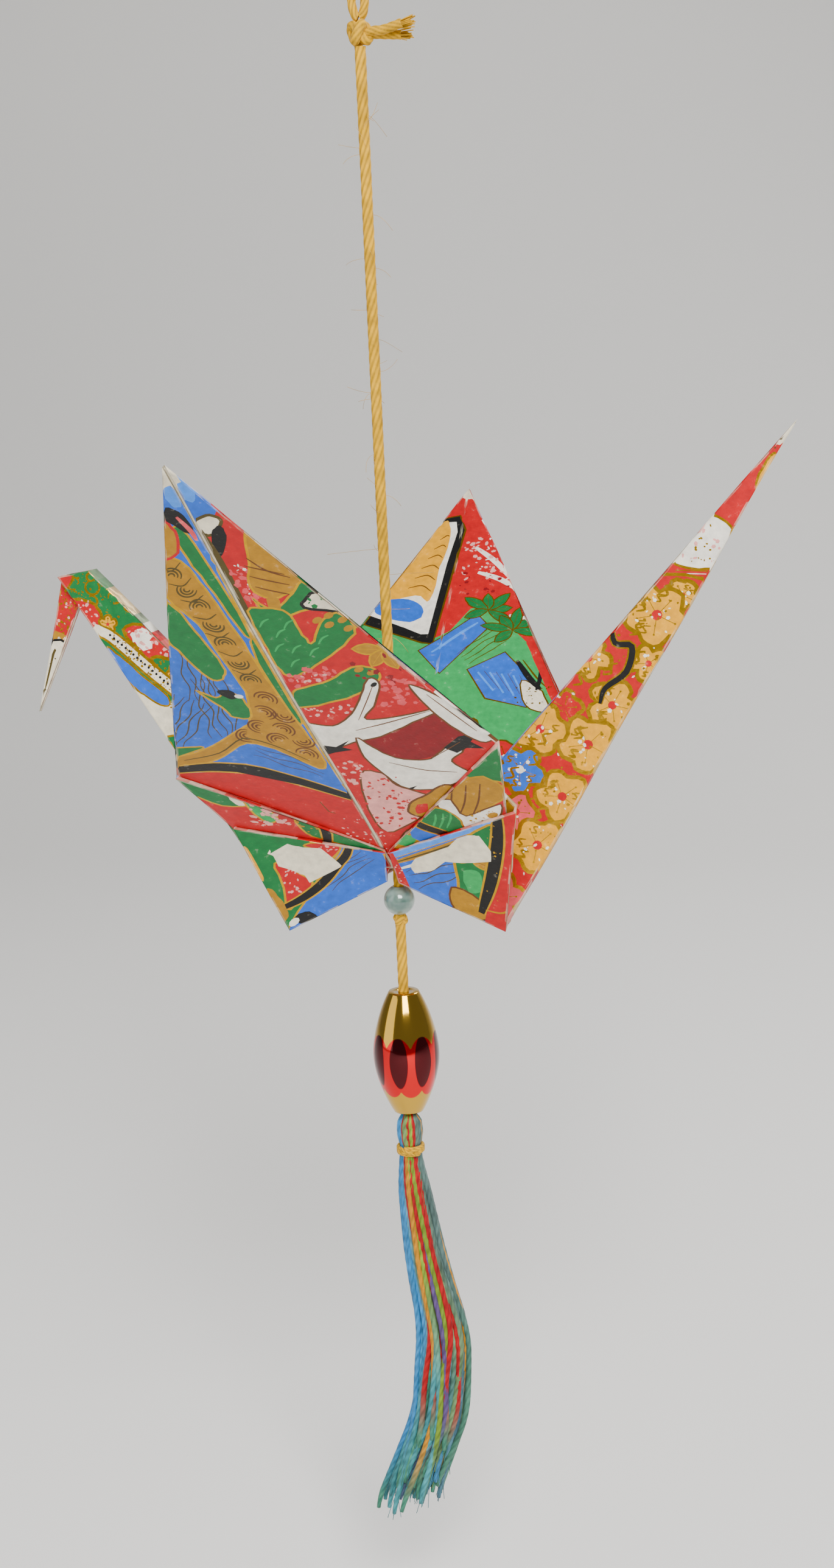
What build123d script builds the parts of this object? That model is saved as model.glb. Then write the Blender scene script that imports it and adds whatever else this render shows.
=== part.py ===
from build123d import *
import math
import os

# Folded paper crane on a cotton cord, with two glass beads and a floss tassel.
# Millimetres, +Z up, head towards -X, tail towards +X, near wing towards -Y.
# The origin is the top of the hanging loop; everything hangs below it.

# ---- sheet and folds -------------------------------------------------------
SHEET = 150.0            # side of the square washi sheet
PAPER = 0.14             # sheet thickness
PITCH = 0.19             # spacing of two folded layers
HANG = 110.0             # loop top down to the wing hinge of the crane
NARROW = 11.25           # angle of the narrowing crease at neck and tail
TILT_NEAR = 44.0         # wing lean away from the upright, near side
TILT_FAR = 53.5          # the same on the far side
LEAN_NEAR = -8.7         # turn of the near wing in its own plane, to the head
LEAN_FAR = 1.5           # turn of the far wing in its own plane
BODY_HALF = 5.5          # half depth of the body where the wings start
TAIL_RISE = 59.5         # tail crease above the level
NECK_RISE = 58.5         # neck crease above the level
HEAD_CREASE = 17.8       # crease side of the head, fold to beak
HEAD_SPINE = 19.8        # spine side of the head, fold to beak
HUMP_TOP = 26.5          # height of the sheet centre over the wing hinge
CORD_DIA = 1.3           # twisted cotton cord
HOLE_CLEAR = 0.50        # play of the cord in the hole pricked through the sheet centre
HOLE_HALF = CORD_DIA / 2 + HOLE_CLEAR
SLIT = 0.22              # half gap of the wing slit between the raw edges

# ---- beads, knots, tassel (heights from the wing hinge) ----------------------
JADE_DIA = 4.0
OVAL_LEN = 16.1
OVAL_DIA = 8.6
BORE_CLEAR = 0.20        # play of the cord in each bead, on the diameter
BEAD_BORE = CORD_DIA + BORE_CLEAR
Z_JADE = -2.10           # bead centre
Z_OVAL_TOP = -14.2       # top of the oval bead
Z_KNOT_LOW = 101.0       # underside of the top knot
KNOT_LEN = 3.0
LOOP_DIA = 1.1
HEAD_LEN = 4.7           # folded head of the tassel above its binding
TAILS = [((3.2, -0.3, 0.2), (6.9, -0.6, 1.1)), ((3.0, 0.9, -0.2), (6.3, 1.3, -0.4))]
# tassel skirt: depth under the neck, sideways drift, half width, half depth
SKIRT = [(0.0, 0.0, 1.44, 1.44), (1.25, 0.0, 1.44, 1.44), (4.2, 0.1, 2.4, 2.3), (16.0, 1.6, 3.7, 3.4),
         (26.0, 3.5, 4.7, 4.2), (38.3, 2.3, 4.7, 4.3), (46.0, -0.5, 4.7, 4.2), (52.2, -3.6, 5.0, 4.0)]

# ---- crease points of the flat bird base, in parts of the side ---------------
HALF = math.sqrt(0.5)                    # sheet centre to a corner
KITE = HALF - 0.5                        # hinge height below the sheet centre
NAR = math.radians(NARROW)
S_Q = math.hypot(KITE, 0.5) - 0.5        # lower corner of the wing kite
P_Q = (KITE - 0.5 * math.tan(NAR)) / (2 * KITE + math.tan(NAR))   # crease meets the wing edge
P_P = math.tan(NAR) * (P_Q + 0.5)
Q_Q = (KITE - 0.5 * math.tan(NAR)) / (1 + math.tan(NAR))
Q_P = math.tan(NAR) * (Q_Q + 0.5)
N_P = math.tan(NAR) * 0.5
R_Q = -0.035
R_P = math.tan(NAR) * (R_Q + 0.5)
LEG = math.hypot(R_P, R_Q + 0.5) * SHEET
SPINE = 0.49 * SHEET                     # spine length of neck and tail


def add(a, b, f=1.0):
    return (a[0] + f * b[0], a[1] + f * b[1], a[2] + f * b[2])


def dot(a, b):
    return a[0] * b[0] + a[1] * b[1] + a[2] * b[2]


def cross(a, b):
    return (a[1] * b[2] - a[2] * b[1], a[2] * b[0] - a[0] * b[2], a[0] * b[1] - a[1] * b[0])


def unit(a):
    n = math.sqrt(dot(a, a)) or 1.0
    return (a[0] / n, a[1] / n, a[2] / n)


# layer of every facet of a quarter sheet, counted outwards from the innermost
LAYER = {"A1": 3, "A2": 4, "A3": 3, "A4": 4, "W1": 2, "W2": 5, "D1": 1, "D2": 6, "E1": 0, "E2": 7}
NECK = {"A5": 2, "A6": 1, "E3": 3, "E4": 0}
HEAD = {"A7": 1, "A8": 2, "E5": 0, "E6": 3}
EDGE_IN = {"A": 3, "W": 2, "D": 1, "E": 0}


def wing_point(side, p, q, turn=1.0):
    """Point of the wing plane at (p, q) of the flat base; turn fades the lean near the body."""
    tilt = math.radians(TILT_NEAR if side < 0 else TILT_FAR)
    lean = math.radians(LEAN_NEAR if side < 0 else LEAN_FAR) * turn
    x = p * SHEET
    z = (q - S_Q) * SHEET
    x, z = x * math.cos(lean) + z * math.sin(lean), z * math.cos(lean) - x * math.sin(lean)
    return (x, side * (BODY_HALF + z * math.sin(tilt)), S_Q * SHEET + z * math.cos(tilt))


def leg_points(hand):
    """Root, fold and end points of neck or tail in the middle plane."""
    rise = math.radians(TAIL_RISE if hand > 0 else NECK_RISE)
    root = (hand * R_P * SHEET, 0.0, R_Q * SHEET)
    end = (root[0] + hand * LEG * math.cos(rise), 0.0, root[2] + LEG * math.sin(rise))
    back = (-hand * math.cos(rise), 0.0, -math.sin(rise))
    spine = (-hand * math.cos(rise - NAR), 0.0, -math.sin(rise - NAR))
    pts = {"R": root, "C": end, "X": add(end, spine, SPINE)}
    pts["R2"] = add(end, back, HEAD_CREASE)
    pts["X2"] = add(end, spine, HEAD_SPINE)
    line = unit(add(pts["X2"], pts["R2"], -1.0))
    away = add(end, pts["R2"], -1.0)
    along = dot(away, line)
    pts["B"] = add(add(pts["R2"], line, 2 * along), away, -1.0)
    return pts


def place(name, facet, side, hand):
    """Mid-thickness position of crease point name on one facet."""
    tilt = math.radians(TILT_NEAR if side < 0 else TILT_FAR)
    wing_n = (0.0, side * math.cos(tilt), -math.sin(tilt))
    body_n = unit((0.0, side, -0.55))
    low_n = unit((0.0, side, -0.22))
    inward = (-hand * math.cos(NAR), 0.0, math.sin(NAR))
    kind = facet[0]
    leg = leg_points(hand)
    if facet in LAYER:
        lay = LAYER[facet]
        cut = EDGE_IN[kind] * PITCH
        if name == "T":
            gap = hand * 0.14 if kind == "A" else 0.0
            return add(add(wing_point(side, 0.0, 0.5), wing_n, lay * PITCH), (gap, 0.0, 0.0))
        if name in ("H", "M"):
            gap = hand * SLIT if kind == "A" else 0.0
            low = wing_point(side, 0.0, 0.012 if kind != "A" else 0.016, 0.35)
            return add((gap, low[1], low[2]), wing_n, lay * PITCH)
        if name == "P":
            return add(add(wing_point(side, hand * P_P, P_Q), wing_n, lay * PITCH), inward, cut)
        if name == "Q":
            base = wing_point(side, hand * Q_P, Q_Q, 0.6)
            return add(add(base, body_n, lay * PITCH), inward, cut)
        if name == "N":
            base = wing_point(side, hand * N_P, 0.006, 0.35)
            return add(add(base, body_n, lay * PITCH), inward, cut)
        if name == "S":
            base = wing_point(side, hand * 0.30 / SHEET, S_Q, 0.7)
            return add(base, body_n, lay * PITCH)
        nest = {"E1": 3, "A3": 2, "A4": 1, "E2": 0}.get(facet, 0) * PITCH
        if name == "X":
            x = leg["X"][0] - hand * (0.0 if facet != "E2" else 0.3)
            return add((x, side * (5.2 * PITCH + 0.9), leg["X"][2] + nest), low_n, lay * PITCH)
        if name == "R":
            base = (leg["R"][0], side * 5.2 * PITCH, leg["R"][2] + nest)
            return add(add(base, low_n, lay * PITCH), inward, cut)
        if name == "OH":
            return (0.0, side * HOLE_HALF, HUMP_TOP - 1.0)
        if name == "OQ":
            f = 0.80 if kind == "D" else 0.64
            return (hand * f * HOLE_HALF, side * f * HOLE_HALF, HUMP_TOP - 0.9 + (0.12 if kind == "D" else -0.08))
        if name == "OX":
            return (hand * HOLE_HALF, side * 0.6 * PITCH, HUMP_TOP - 1.1)
    if facet in NECK:
        j = NECK[facet]
        spread = 4.3 if hand < 0 else 0.0
        inner = 1.0 if kind == "A" or facet == "E4" else 0.0
        nest = {3: 3, 2: 2, 1: 1, 0: 0}[j] * PITCH
        to_mid = unit(add(leg["R"], leg["X"], -1.0))
        up = (-hand * 0.5, 0.0, 0.86)
        if name == "X":
            return (leg["X"][0] + hand * 0.25 * inner, side * (j + 0.55) * PITCH, leg["X"][2] + nest)
        if name == "R":
            cut = PITCH if kind == "A" else 0.0
            base = (leg["R"][0], side * (j + 0.55) * PITCH, leg["R"][2] + nest)
            return add(base, up, cut)
        y = side * (j + 0.55 + spread) * PITCH
        if name == "X2":
            p = leg["X2"]
            return (p[0] - 0.3 * inner * PITCH * 3, y, p[2] - 0.2 * inner * PITCH * 3)
        if name == "R2":
            p = leg["R2"]
            cut = 1.2 * PITCH if kind == "A" else 0.0
            return (p[0] + cut, y, p[2] + 0.2 * cut)
        if name == "C":
            p = leg["C"]
            cut = 2.0 * PITCH if kind == "A" else 0.0
            return (p[0] - hand * cut * 0.6, side * (0.55 * j + 0.4) * PITCH, p[2] - cut)
    if facet in HEAD:
        j = HEAD[facet]
        y = side * (j + 0.55) * PITCH
        drop = 1.6 * PITCH
        if name == "X2":
            p = leg["X2"]
            return (p[0] - 0.25, y, p[2] - drop)
        if name == "R2":
            p = leg["R2"]
            cut = 1.2 * PITCH if kind == "A" else 0.0
            return (p[0] + 0.25 + cut, y, p[2] - drop)
        if name == "C":
            p = leg["B"]
            cut = 2.0 * PITCH if kind == "A" else 0.0
            return (p[0] + 0.3 * cut, side * (0.55 * j + 0.4) * PITCH, p[2] + cut)
    raise KeyError((name, facet))


def facet_table(hand):
    """Facets, folds and closed corners of one quarter of the sheet."""
    facets = {
        "A1": ["T", "P", "N", "M"], "A2": ["P", "S", "N"], "A3": ["M", "N", "R", "X"],
        "A4": ["N", "S", "X", "R"], "W1": ["T", "P", "N", "H"], "W2": ["P", "S", "N"],
        "D1": ["H", "N", "Q", "OQ", "OH"], "D2": ["N", "S", "Q"],
        "E1": ["X", "R", "Q", "OQ", "OX"], "E2": ["Q", "S", "X", "R"],
    }
    folds = [
        ("A1", "W1", "T", "P"), ("A2", "W2", "P", "S"), ("W1", "D1", "H", "N"), ("W2", "D2", "N", "S"),
        ("D1", "E1", "Q", "OQ"), ("D2", "E2", "Q", "S"), ("A4", "E2", "S", "X"), ("A1", "A2", "P", "N"),
        ("A3", "A4", "N", "R"), ("W1", "W2", "P", "N"), ("D1", "D2", "N", "Q"), ("E1", "E2", "Q", "R"),
        ("A1", "A3", "M", "N"), ("A2", "A4", "N", "S"), ("A3", "A5", "X", "R"), ("A4", "A6", "X", "R"),
        ("E1", "E3", "X", "R"), ("E2", "E4", "X", "R"),
    ]
    caps = [
        ("P", ["A1", "A2", "W2", "W1"]), ("S", ["A2", "A4", "E2", "D2", "W2"]),
        ("N", ["A1", "A2", "A4", "A3"]), ("N", ["W1", "W2", "D2", "D1"]), ("Q", ["D1", "D2", "E2", "E1"]),
        ("X", ["A4", "A6", "E4", "E2"]), ("R", ["A3", "A4", "A6", "A5"]), ("R", ["E1", "E2", "E4", "E3"]),
    ]
    if hand > 0:
        facets.update({"A5": ["X", "R", "C"], "A6": ["X", "R", "C"], "E3": ["X", "R", "C"], "E4": ["X", "R", "C"]})
        folds += [("A5", "A6", "R", "C"), ("E3", "E4", "R", "C"), ("A6", "E4", "X", "C")]
        return facets, folds, caps
    for f in NECK:
        facets[f] = ["X", "R", "R2", "X2"]
    for f in HEAD:
        facets[f] = ["X2", "R2", "C"]
    folds += [
        ("A5", "A6", "R", "R2"), ("E3", "E4", "R", "R2"), ("A6", "E4", "X", "X2"), ("A7", "A8", "R2", "C"),
        ("E5", "E6", "R2", "C"), ("A8", "E6", "X2", "C"), ("A5", "A7", "X2", "R2"), ("A6", "A8", "X2", "R2"),
        ("E3", "E5", "X2", "R2"), ("E4", "E6", "X2", "R2"),
    ]
    caps += [
        ("X2", ["A6", "A8", "E6", "E4"]), ("R2", ["A5", "A6", "A8", "A7"]), ("R2", ["E3", "E4", "E6", "E5"]),
    ]
    return facets, folds, caps


def crane_sheet():
    """The folded sheet at mid-thickness: points and triangles of one connected surface."""
    points = {}
    tris = []

    def key(name, facet, side, hand):
        shared = (facet == "W1" and name in ("T", "H")) or (facet == "D1" and name in ("H", "OH"))
        k = (name, facet, side, 0 if shared else hand)
        if k not in points:
            points[k] = place(name, facet, side, hand)
        return k

    def polygon(keys):
        ring = [k for i, k in enumerate(keys) if k != keys[i - 1]]
        for i in range(1, len(ring) - 1):
            if len({ring[0], ring[i], ring[i + 1]}) == 3:
                tris.append((ring[0], ring[i], ring[i + 1]))

    for side in (-1, 1):
        for hand in (-1, 1):
            facets, folds, caps = facet_table(hand)
            for f, names in facets.items():
                ks = [key(n, f, side, hand) for n in names]
                if f == "D1":
                    polygon([ks[0], ks[1], ks[2]])
                    polygon([ks[0], ks[2], ks[3], ks[4]])
                else:
                    polygon(ks)
            for f, g, a, b in folds:
                polygon([key(a, f, side, hand), key(b, f, side, hand), key(b, g, side, hand), key(a, g, side, hand)])
            for name, ring in caps:
                polygon([key(name, f, side, hand) for f in ring])
    for hand in (-1, 1):
        spine = [("E1", "X", "OX"), ("E3", "X", "C" if hand > 0 else "X2")]
        if hand < 0:
            spine.append(("E5", "X2", "C"))
        for f, a, b in spine:
            polygon([key(a, f, -1, hand), key(b, f, -1, hand), key(b, f, 1, hand), key(a, f, 1, hand)])
        polygon([key("X", "E1", -1, hand), key("X", "E3", -1, hand), key("X", "E3", 1, hand), key("X", "E1", 1, hand)])
        if hand < 0:
            polygon([key("X2", "E3", -1, hand), key("X2", "E5", -1, hand), key("X2", "E5", 1, hand), key("X2", "E3", 1, hand)])
    return points, tris


def orient(tris):
    """Turn the triangles so that neighbours agree; returns them and the open edges."""
    by_edge = {}
    for i, t in enumerate(tris):
        for j in range(3):
            e = frozenset((t[j], t[(j + 1) % 3]))
            by_edge.setdefault(e, []).append(i)
    bad = [e for e, v in by_edge.items() if len(v) > 2]
    done = {0}
    stack = [0]
    out = list(tris)
    while stack:
        i = stack.pop()
        t = out[i]
        for j in range(3):
            a, b = t[j], t[(j + 1) % 3]
            for k in by_edge[frozenset((a, b))]:
                if k in done:
                    continue
                u = out[k]
                if any(u[m] == a and u[(m + 1) % 3] == b for m in range(3)):
                    out[k] = (u[0], u[2], u[1])
                done.add(k)
                stack.append(k)
    rim = []
    for t in out:
        for j in range(3):
            a, b = t[j], t[(j + 1) % 3]
            if len(by_edge[frozenset((a, b))]) == 1:
                rim.append((a, b))
    print("triangles", len(out), "reached", len(done), "rim edges", len(rim), "bad edges", len(bad))
    return out, rim


def solve3(m, b):
    """Solution of a 3x3 linear system by Cramer's rule."""
    def det(a):
        return dot(a[0], cross(a[1], a[2]))

    d = det(m)
    cols = []
    for i in range(3):
        rows = []
        for r in range(3):
            row = list(m[r])
            row[i] = b[r]
            rows.append(tuple(row))
        cols.append(det(rows) / d)
    return tuple(cols)


def thicken(points, tris, rim):
    """Both faces of the sheet and its cut edges as one closed list of triangles."""
    near = {k: [] for k in points}
    for t in tris:
        a, b, c = (points[k] for k in t)
        n = cross(add(b, a, -1.0), add(c, a, -1.0))
        size = math.sqrt(dot(n, n))
        if size > 1e-9:
            for k in t:
                near[k].append((unit(n), size))
    top = {}
    low = {}
    for k, normals in near.items():
        m = [[1e-3 if i == j else 0.0 for j in range(3)] for i in range(3)]
        b = [0.0, 0.0, 0.0]
        for n, size in normals:
            w = min(1.0, size / 0.2)
            for i in range(3):
                b[i] += w * n[i] * PAPER / 2
                for j in range(3):
                    m[i][j] += w * n[i] * n[j]
        d = solve3(m, b)
        length = math.sqrt(dot(d, d))
        if length > 0.85 * PAPER:
            d = add((0, 0, 0), d, 0.85 * PAPER / length)
        top[k] = add(points[k], d)
        low[k] = add(points[k], d, -1.0)
    out = []
    for a, b, c in tris:
        out.append((top[a], top[b], top[c]))
        out.append((low[a], low[c], low[b]))
    for a, b in rim:
        out.append((top[b], top[a], low[a]))
        out.append((top[b], low[a], low[b]))
    return out


def build_crane():
    points, tris = crane_sheet()
    tris, rim = orient(tris)
    skin = thicken(points, tris, rim)
    volume = sum(dot(a, cross(b, c)) for a, b, c in skin) / 6
    if volume < 0:
        skin = [(a, c, b) for a, b, c in skin]
    faces = []
    for t in skin:
        n = cross(add(t[1], t[0], -1.0), add(t[2], t[0], -1.0))
        if math.sqrt(dot(n, n)) < 1e-7:
            continue
        moved = [Vector(p[0], p[1], p[2] - HANG) for p in t]
        faces.append(Face(Wire.make_polygon(moved, close=True)))
    print("faces", len(faces), "skin volume", round(abs(volume), 1), "sheet", round(SHEET * SHEET * PAPER, 1))
    return Solid(Shell(faces))


def tube(points, radii, diameter):
    """Round cord along straight runs joined by tangent arcs."""
    wire = FilletPolyline(*points, radius=radii) if len(points) > 2 else Line(*points)
    start = wire @ 0
    way = wire % 0
    disk = Plane(origin=start, z_dir=way) * Circle(diameter / 2)
    return sweep(disk, path=wire)


def turned(profile):
    """Solid of revolution about the cord line from (radius, height) points."""
    face = make_face(Polyline(*[(r, 0, z) for r, z in profile], close=True))
    return revolve(face, axis=Axis.Z)


def bead(radii, z_top, z_end, bore):
    """Bored bead from its outline: radii at equal steps from z_top down to z_end."""
    n = len(radii) - 1
    outline = [(r, z_top + (z_end - z_top) * i / n) for i, r in enumerate(radii)]
    return turned([(bore / 2, z_top)] + outline + [(bore / 2, z_end)])


def oval_radius(t):
    """Outline of the oval bead, t from 0 at the top to 1: egg with a full middle band."""
    body = math.sin(math.pi * (0.10 + 0.80 * t)) ** 0.62
    swell = math.exp(-(((t - 0.55) / 0.24) ** 2))
    return OVAL_DIA / 2 * (0.93 * body + 0.07 * swell)


if __name__ == "__main__":
    os.makedirs("parts", exist_ok=True)
    crane = build_crane()
    print("crane valid", crane.is_valid, round(crane.volume, 1))
    export_step(crane, "parts/crane.step")
    # every height below is counted from the wing hinge, HANG under the loop top
    z_end = Z_OVAL_TOP - OVAL_LEN
    nodes = {}
    cord = Cylinder(CORD_DIA / 2, Z_KNOT_LOW - z_end, align=(Align.CENTER, Align.CENTER, Align.MIN))
    nodes["cord_main"] = cord.moved(Location((0, 0, z_end)))
    # top knot: a tight round knot with its two short frayed tails
    waist = [0.65, 1.15, 1.55, 1.7, 1.6, 1.3, 1.0, 0.9]
    knot = turned([(0, Z_KNOT_LOW)] + [
        (r, Z_KNOT_LOW + KNOT_LEN * i / 7) for i, r in enumerate(waist)] + [(0, Z_KNOT_LOW + KNOT_LEN)])
    mid = Z_KNOT_LOW + KNOT_LEN / 2
    for bend, end in TAILS:
        radius = 0.45 * 2.6 / math.tan(math.radians(15))
        route = [(0.4, 0, mid), (bend[0], bend[1], mid + bend[2]), (end[0], end[1], mid + end[2])]
        knot = knot.fuse(tube(route, [min(radius, 2.5)], 1.15))
    nodes["top_knot"] = knot
    loop_low = Z_KNOT_LOW + KNOT_LEN
    flat = [(-0.68, 0, loop_low), (-0.9, 0, HANG - 0.6), (0.9, 0, HANG - 0.6), (0.68, 0, loop_low)]
    radii = [0.45 * 1.8 / math.tan(math.radians(45 - 1)), 0.45 * 1.8 / math.tan(math.radians(45 - 1))]
    print("loop radii", radii)
    hoop = tube(flat, radii, LOOP_DIA)
    slab = Box(8, 8, 6, align=(Align.CENTER, Align.CENTER, Align.MAX)).moved(Location((0, 0, loop_low)))
    nodes["hang_loop"] = hoop.cut(slab)
    ball = JADE_DIA / 2
    flat_z = math.sqrt(ball ** 2 - (BEAD_BORE / 2) ** 2)
    jade = Sphere(ball).cut(Cylinder(BEAD_BORE / 2, JADE_DIA * 2))
    nodes["bead_jade"] = jade.moved(Location((0, 0, Z_JADE)))
    stop_top = Z_JADE - flat_z - 0.02
    nodes["stop_knot"] = bead([0.80, 1.05, 1.12, 1.05, 0.80], stop_top, stop_top - 1.5, CORD_DIA)
    nodes["bead_oval"] = bead([oval_radius(i / 40) for i in range(41)], Z_OVAL_TOP, z_end, BEAD_BORE)
    head = [1.35, 1.72, 1.86, 1.84, 1.74, 1.60, 1.45]
    nodes["tassel_head"] = turned([(0, z_end)] + [
        (r, z_end - HEAD_LEN * i / 6) for i, r in enumerate(head)] + [(0, z_end - HEAD_LEN)])
    z_neck = z_end - HEAD_LEN
    ring = [(1.45, z_neck), (1.85, z_neck), (2.05, z_neck - 0.3), (2.05, z_neck - 0.9), (1.85, z_neck - 1.2),
            (1.45, z_neck - 1.2)]
    nodes["tassel_binding"] = turned(ring)
    rings = [Plane(origin=(x, 0, z_neck - d)) * Ellipse(rx, ry) for d, x, rx, ry in SKIRT]
    skirt = loft(rings)
    nodes["tassel_skirt"] = skirt
    for name, solid in nodes.items():
        solid = solid.moved(Location((0, 0, -HANG)))
        box = solid.bounding_box()
        print(name, "solids", len(solid.solids()), "valid", solid.is_valid, round(solid.volume, 2),
              [round(v, 2) for v in (box.min.X, box.max.X, box.min.Y, box.max.Y, box.min.Z, box.max.Z)])
        export_step(solid.solids()[0], "parts/" + name + ".step")
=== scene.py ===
"""Hanging ornament: a folded washi crane on a yellow cord, a green bead, an oval red and gold bead and a
floss tassel. The folded sheet, the cord, the beads and the tassel replace their plain CAD solids."""
import math

import bpy
import numpy as np
from mathutils import Matrix, Vector
from mathutils.geometry import delaunay_2d_cdt


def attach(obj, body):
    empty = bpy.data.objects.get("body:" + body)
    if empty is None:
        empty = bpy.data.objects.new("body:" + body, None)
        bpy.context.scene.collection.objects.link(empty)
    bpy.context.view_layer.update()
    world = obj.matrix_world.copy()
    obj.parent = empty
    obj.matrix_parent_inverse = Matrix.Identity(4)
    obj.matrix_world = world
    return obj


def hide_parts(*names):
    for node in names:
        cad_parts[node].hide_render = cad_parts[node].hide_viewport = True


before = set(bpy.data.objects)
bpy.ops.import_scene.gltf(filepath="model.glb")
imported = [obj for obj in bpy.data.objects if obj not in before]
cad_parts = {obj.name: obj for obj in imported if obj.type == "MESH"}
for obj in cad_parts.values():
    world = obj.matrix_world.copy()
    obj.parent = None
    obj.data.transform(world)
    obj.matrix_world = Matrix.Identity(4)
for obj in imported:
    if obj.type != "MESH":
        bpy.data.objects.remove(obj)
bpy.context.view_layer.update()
MM = 0.001


# ---- camera: 24 cm in front of the crane, a little above it and turned towards the tail ----
# Its angles and place were fitted to the crease points seen in the photo.
def turn(axis, degrees):
    """Right-handed turn about one axis as a 3x3 array."""
    return np.array(Matrix.Rotation(math.radians(degrees), 3, axis))


HANG = 110.0  # loop top to wing hinge, mm
look = turn("Y", -2.5) @ turn("X", 11.0) @ turn("Z", -10.5)
eye = np.array([2.94, 0.0, 12.9 - HANG]) - look.T @ np.array([0.0, 239.0, 0.0])
pose = Matrix.Identity(4)
for col, vec in enumerate((look.T @ [1, 0, 0], look.T @ [0, 0, 1], -(look.T @ [0, 1, 0]))):
    for row in range(3):
        pose[row][col] = vec[row]
pose.translation = Vector(eye * MM)
lens = bpy.data.cameras.new("camera")
lens.sensor_fit = "VERTICAL"
lens.sensor_height = 24.0
lens.lens = 24.0 * 3123.0 / 2576.0
lens.clip_start = 0.01
camera = bpy.data.objects.new("camera", lens)
camera.matrix_world = pose
bpy.context.scene.collection.objects.link(camera)
bpy.context.scene.camera = camera


# ---- crane: one 150 mm square of printed washi, folded to a bird base and reverse-folded ----
# One connected surface with a printed and a plain white side: flat facets, fold strips, closed corners
# and cut edges. Crease points in parts of the side: T wing tip, P and Q outer corners, N and R creases,
# S kite point, X root of the neck, C its end, M and H wing hinge, OH OQ OX rim of the cord hole.
SHEET = 150.0
PAPER = 0.14
PITCH = 0.19
NAR = math.radians(11.25)
KITE = math.sqrt(0.5) - 0.5
S_Q = math.hypot(KITE, 0.5) - 0.5
P_Q = (KITE - 0.5 * math.tan(NAR)) / (2 * KITE + math.tan(NAR))
P_P = math.tan(NAR) * (P_Q + 0.5)
Q_Q = (KITE - 0.5 * math.tan(NAR)) / (1 + math.tan(NAR))
Q_P = math.tan(NAR) * (Q_Q + 0.5)
N_P = math.tan(NAR) * 0.5
R_Q = -0.035
R_P = math.tan(NAR) * (R_Q + 0.5)
LEG = math.hypot(R_P, R_Q + 0.5) * SHEET
SPINE = 0.49 * SHEET
TILT = {-1: 44.0, 1: 53.5}      # lean of the near and far wing from the upright, degrees
LEAN = {-1: -8.7, 1: 1.5}       # turn of each wing in its own plane
RISE = {-1: 58.5, 1: 59.5}      # crease of neck and tail above the level
BODY_HALF = 5.5                 # half depth of the body where the wings start, mm
HEAD_CREASE = 17.8              # head from fold to beak along the crease
HEAD_SPINE = 19.8               # the same along the spine
HOLE_HALF = 1.15                # half width of the cord hole
RIM_Z = {"OH": 25.5, "D": 25.72, "E": 25.52, "OX": 25.4}  # heights round the cord hole
SLIT = 0.22                     # half gap of the slit in the wing
ROOT = 5.2                      # layers between the middle and the root of neck and tail
LAYER = {"A1": 3, "A2": 4, "A3": 3, "A4": 4, "W1": 2, "W2": 5, "D1": 1, "D2": 6, "E1": 0, "E2": 7}
NECK = {"A5": 2, "A6": 1, "E3": 3, "E4": 0}
HEAD = {"A7": 1, "A8": 2, "E5": 0, "E6": 3}
EDGE_IN = {"A": 3, "W": 2, "D": 1, "E": 0}


def unit(v):
    """v / |v|."""
    return np.asarray(v, float) / (np.linalg.norm(v) or 1.0)


def wing_point(side, p, q, fade=1.0):
    """Point (p, q) of a wing: turned in its plane by the lean, then tilted out from the body edge."""
    tilt = math.radians(TILT[side])
    lean = math.radians(LEAN[side]) * fade
    x = p * SHEET
    z = (q - S_Q) * SHEET
    x, z = x * math.cos(lean) + z * math.sin(lean), z * math.cos(lean) - x * math.sin(lean)
    return np.array([x, side * (BODY_HALF + z * math.sin(tilt)), S_Q * SHEET + z * math.cos(tilt)])


def leg_points(hand):
    """Root R, end C, spine root X, fold R2 X2 and beak B of neck (-1) or tail (+1) in the middle plane;
    B is C mirrored about the line R2 X2."""
    rise = math.radians(RISE[hand])
    root = np.array([hand * R_P * SHEET, 0.0, R_Q * SHEET])
    end = root + LEG * np.array([hand * math.cos(rise), 0.0, math.sin(rise)])
    back = np.array([-hand * math.cos(rise), 0.0, -math.sin(rise)])
    spine = np.array([-hand * math.cos(rise - NAR), 0.0, -math.sin(rise - NAR)])
    pts = {"R": root, "C": end, "X": end + spine * SPINE, "R2": end + back * HEAD_CREASE,
        "X2": end + spine * HEAD_SPINE}
    line = unit(pts["X2"] - pts["R2"])
    away = end - pts["R2"]
    pts["B"] = pts["R2"] + line * 2 * np.dot(away, line) - away
    return pts


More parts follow.
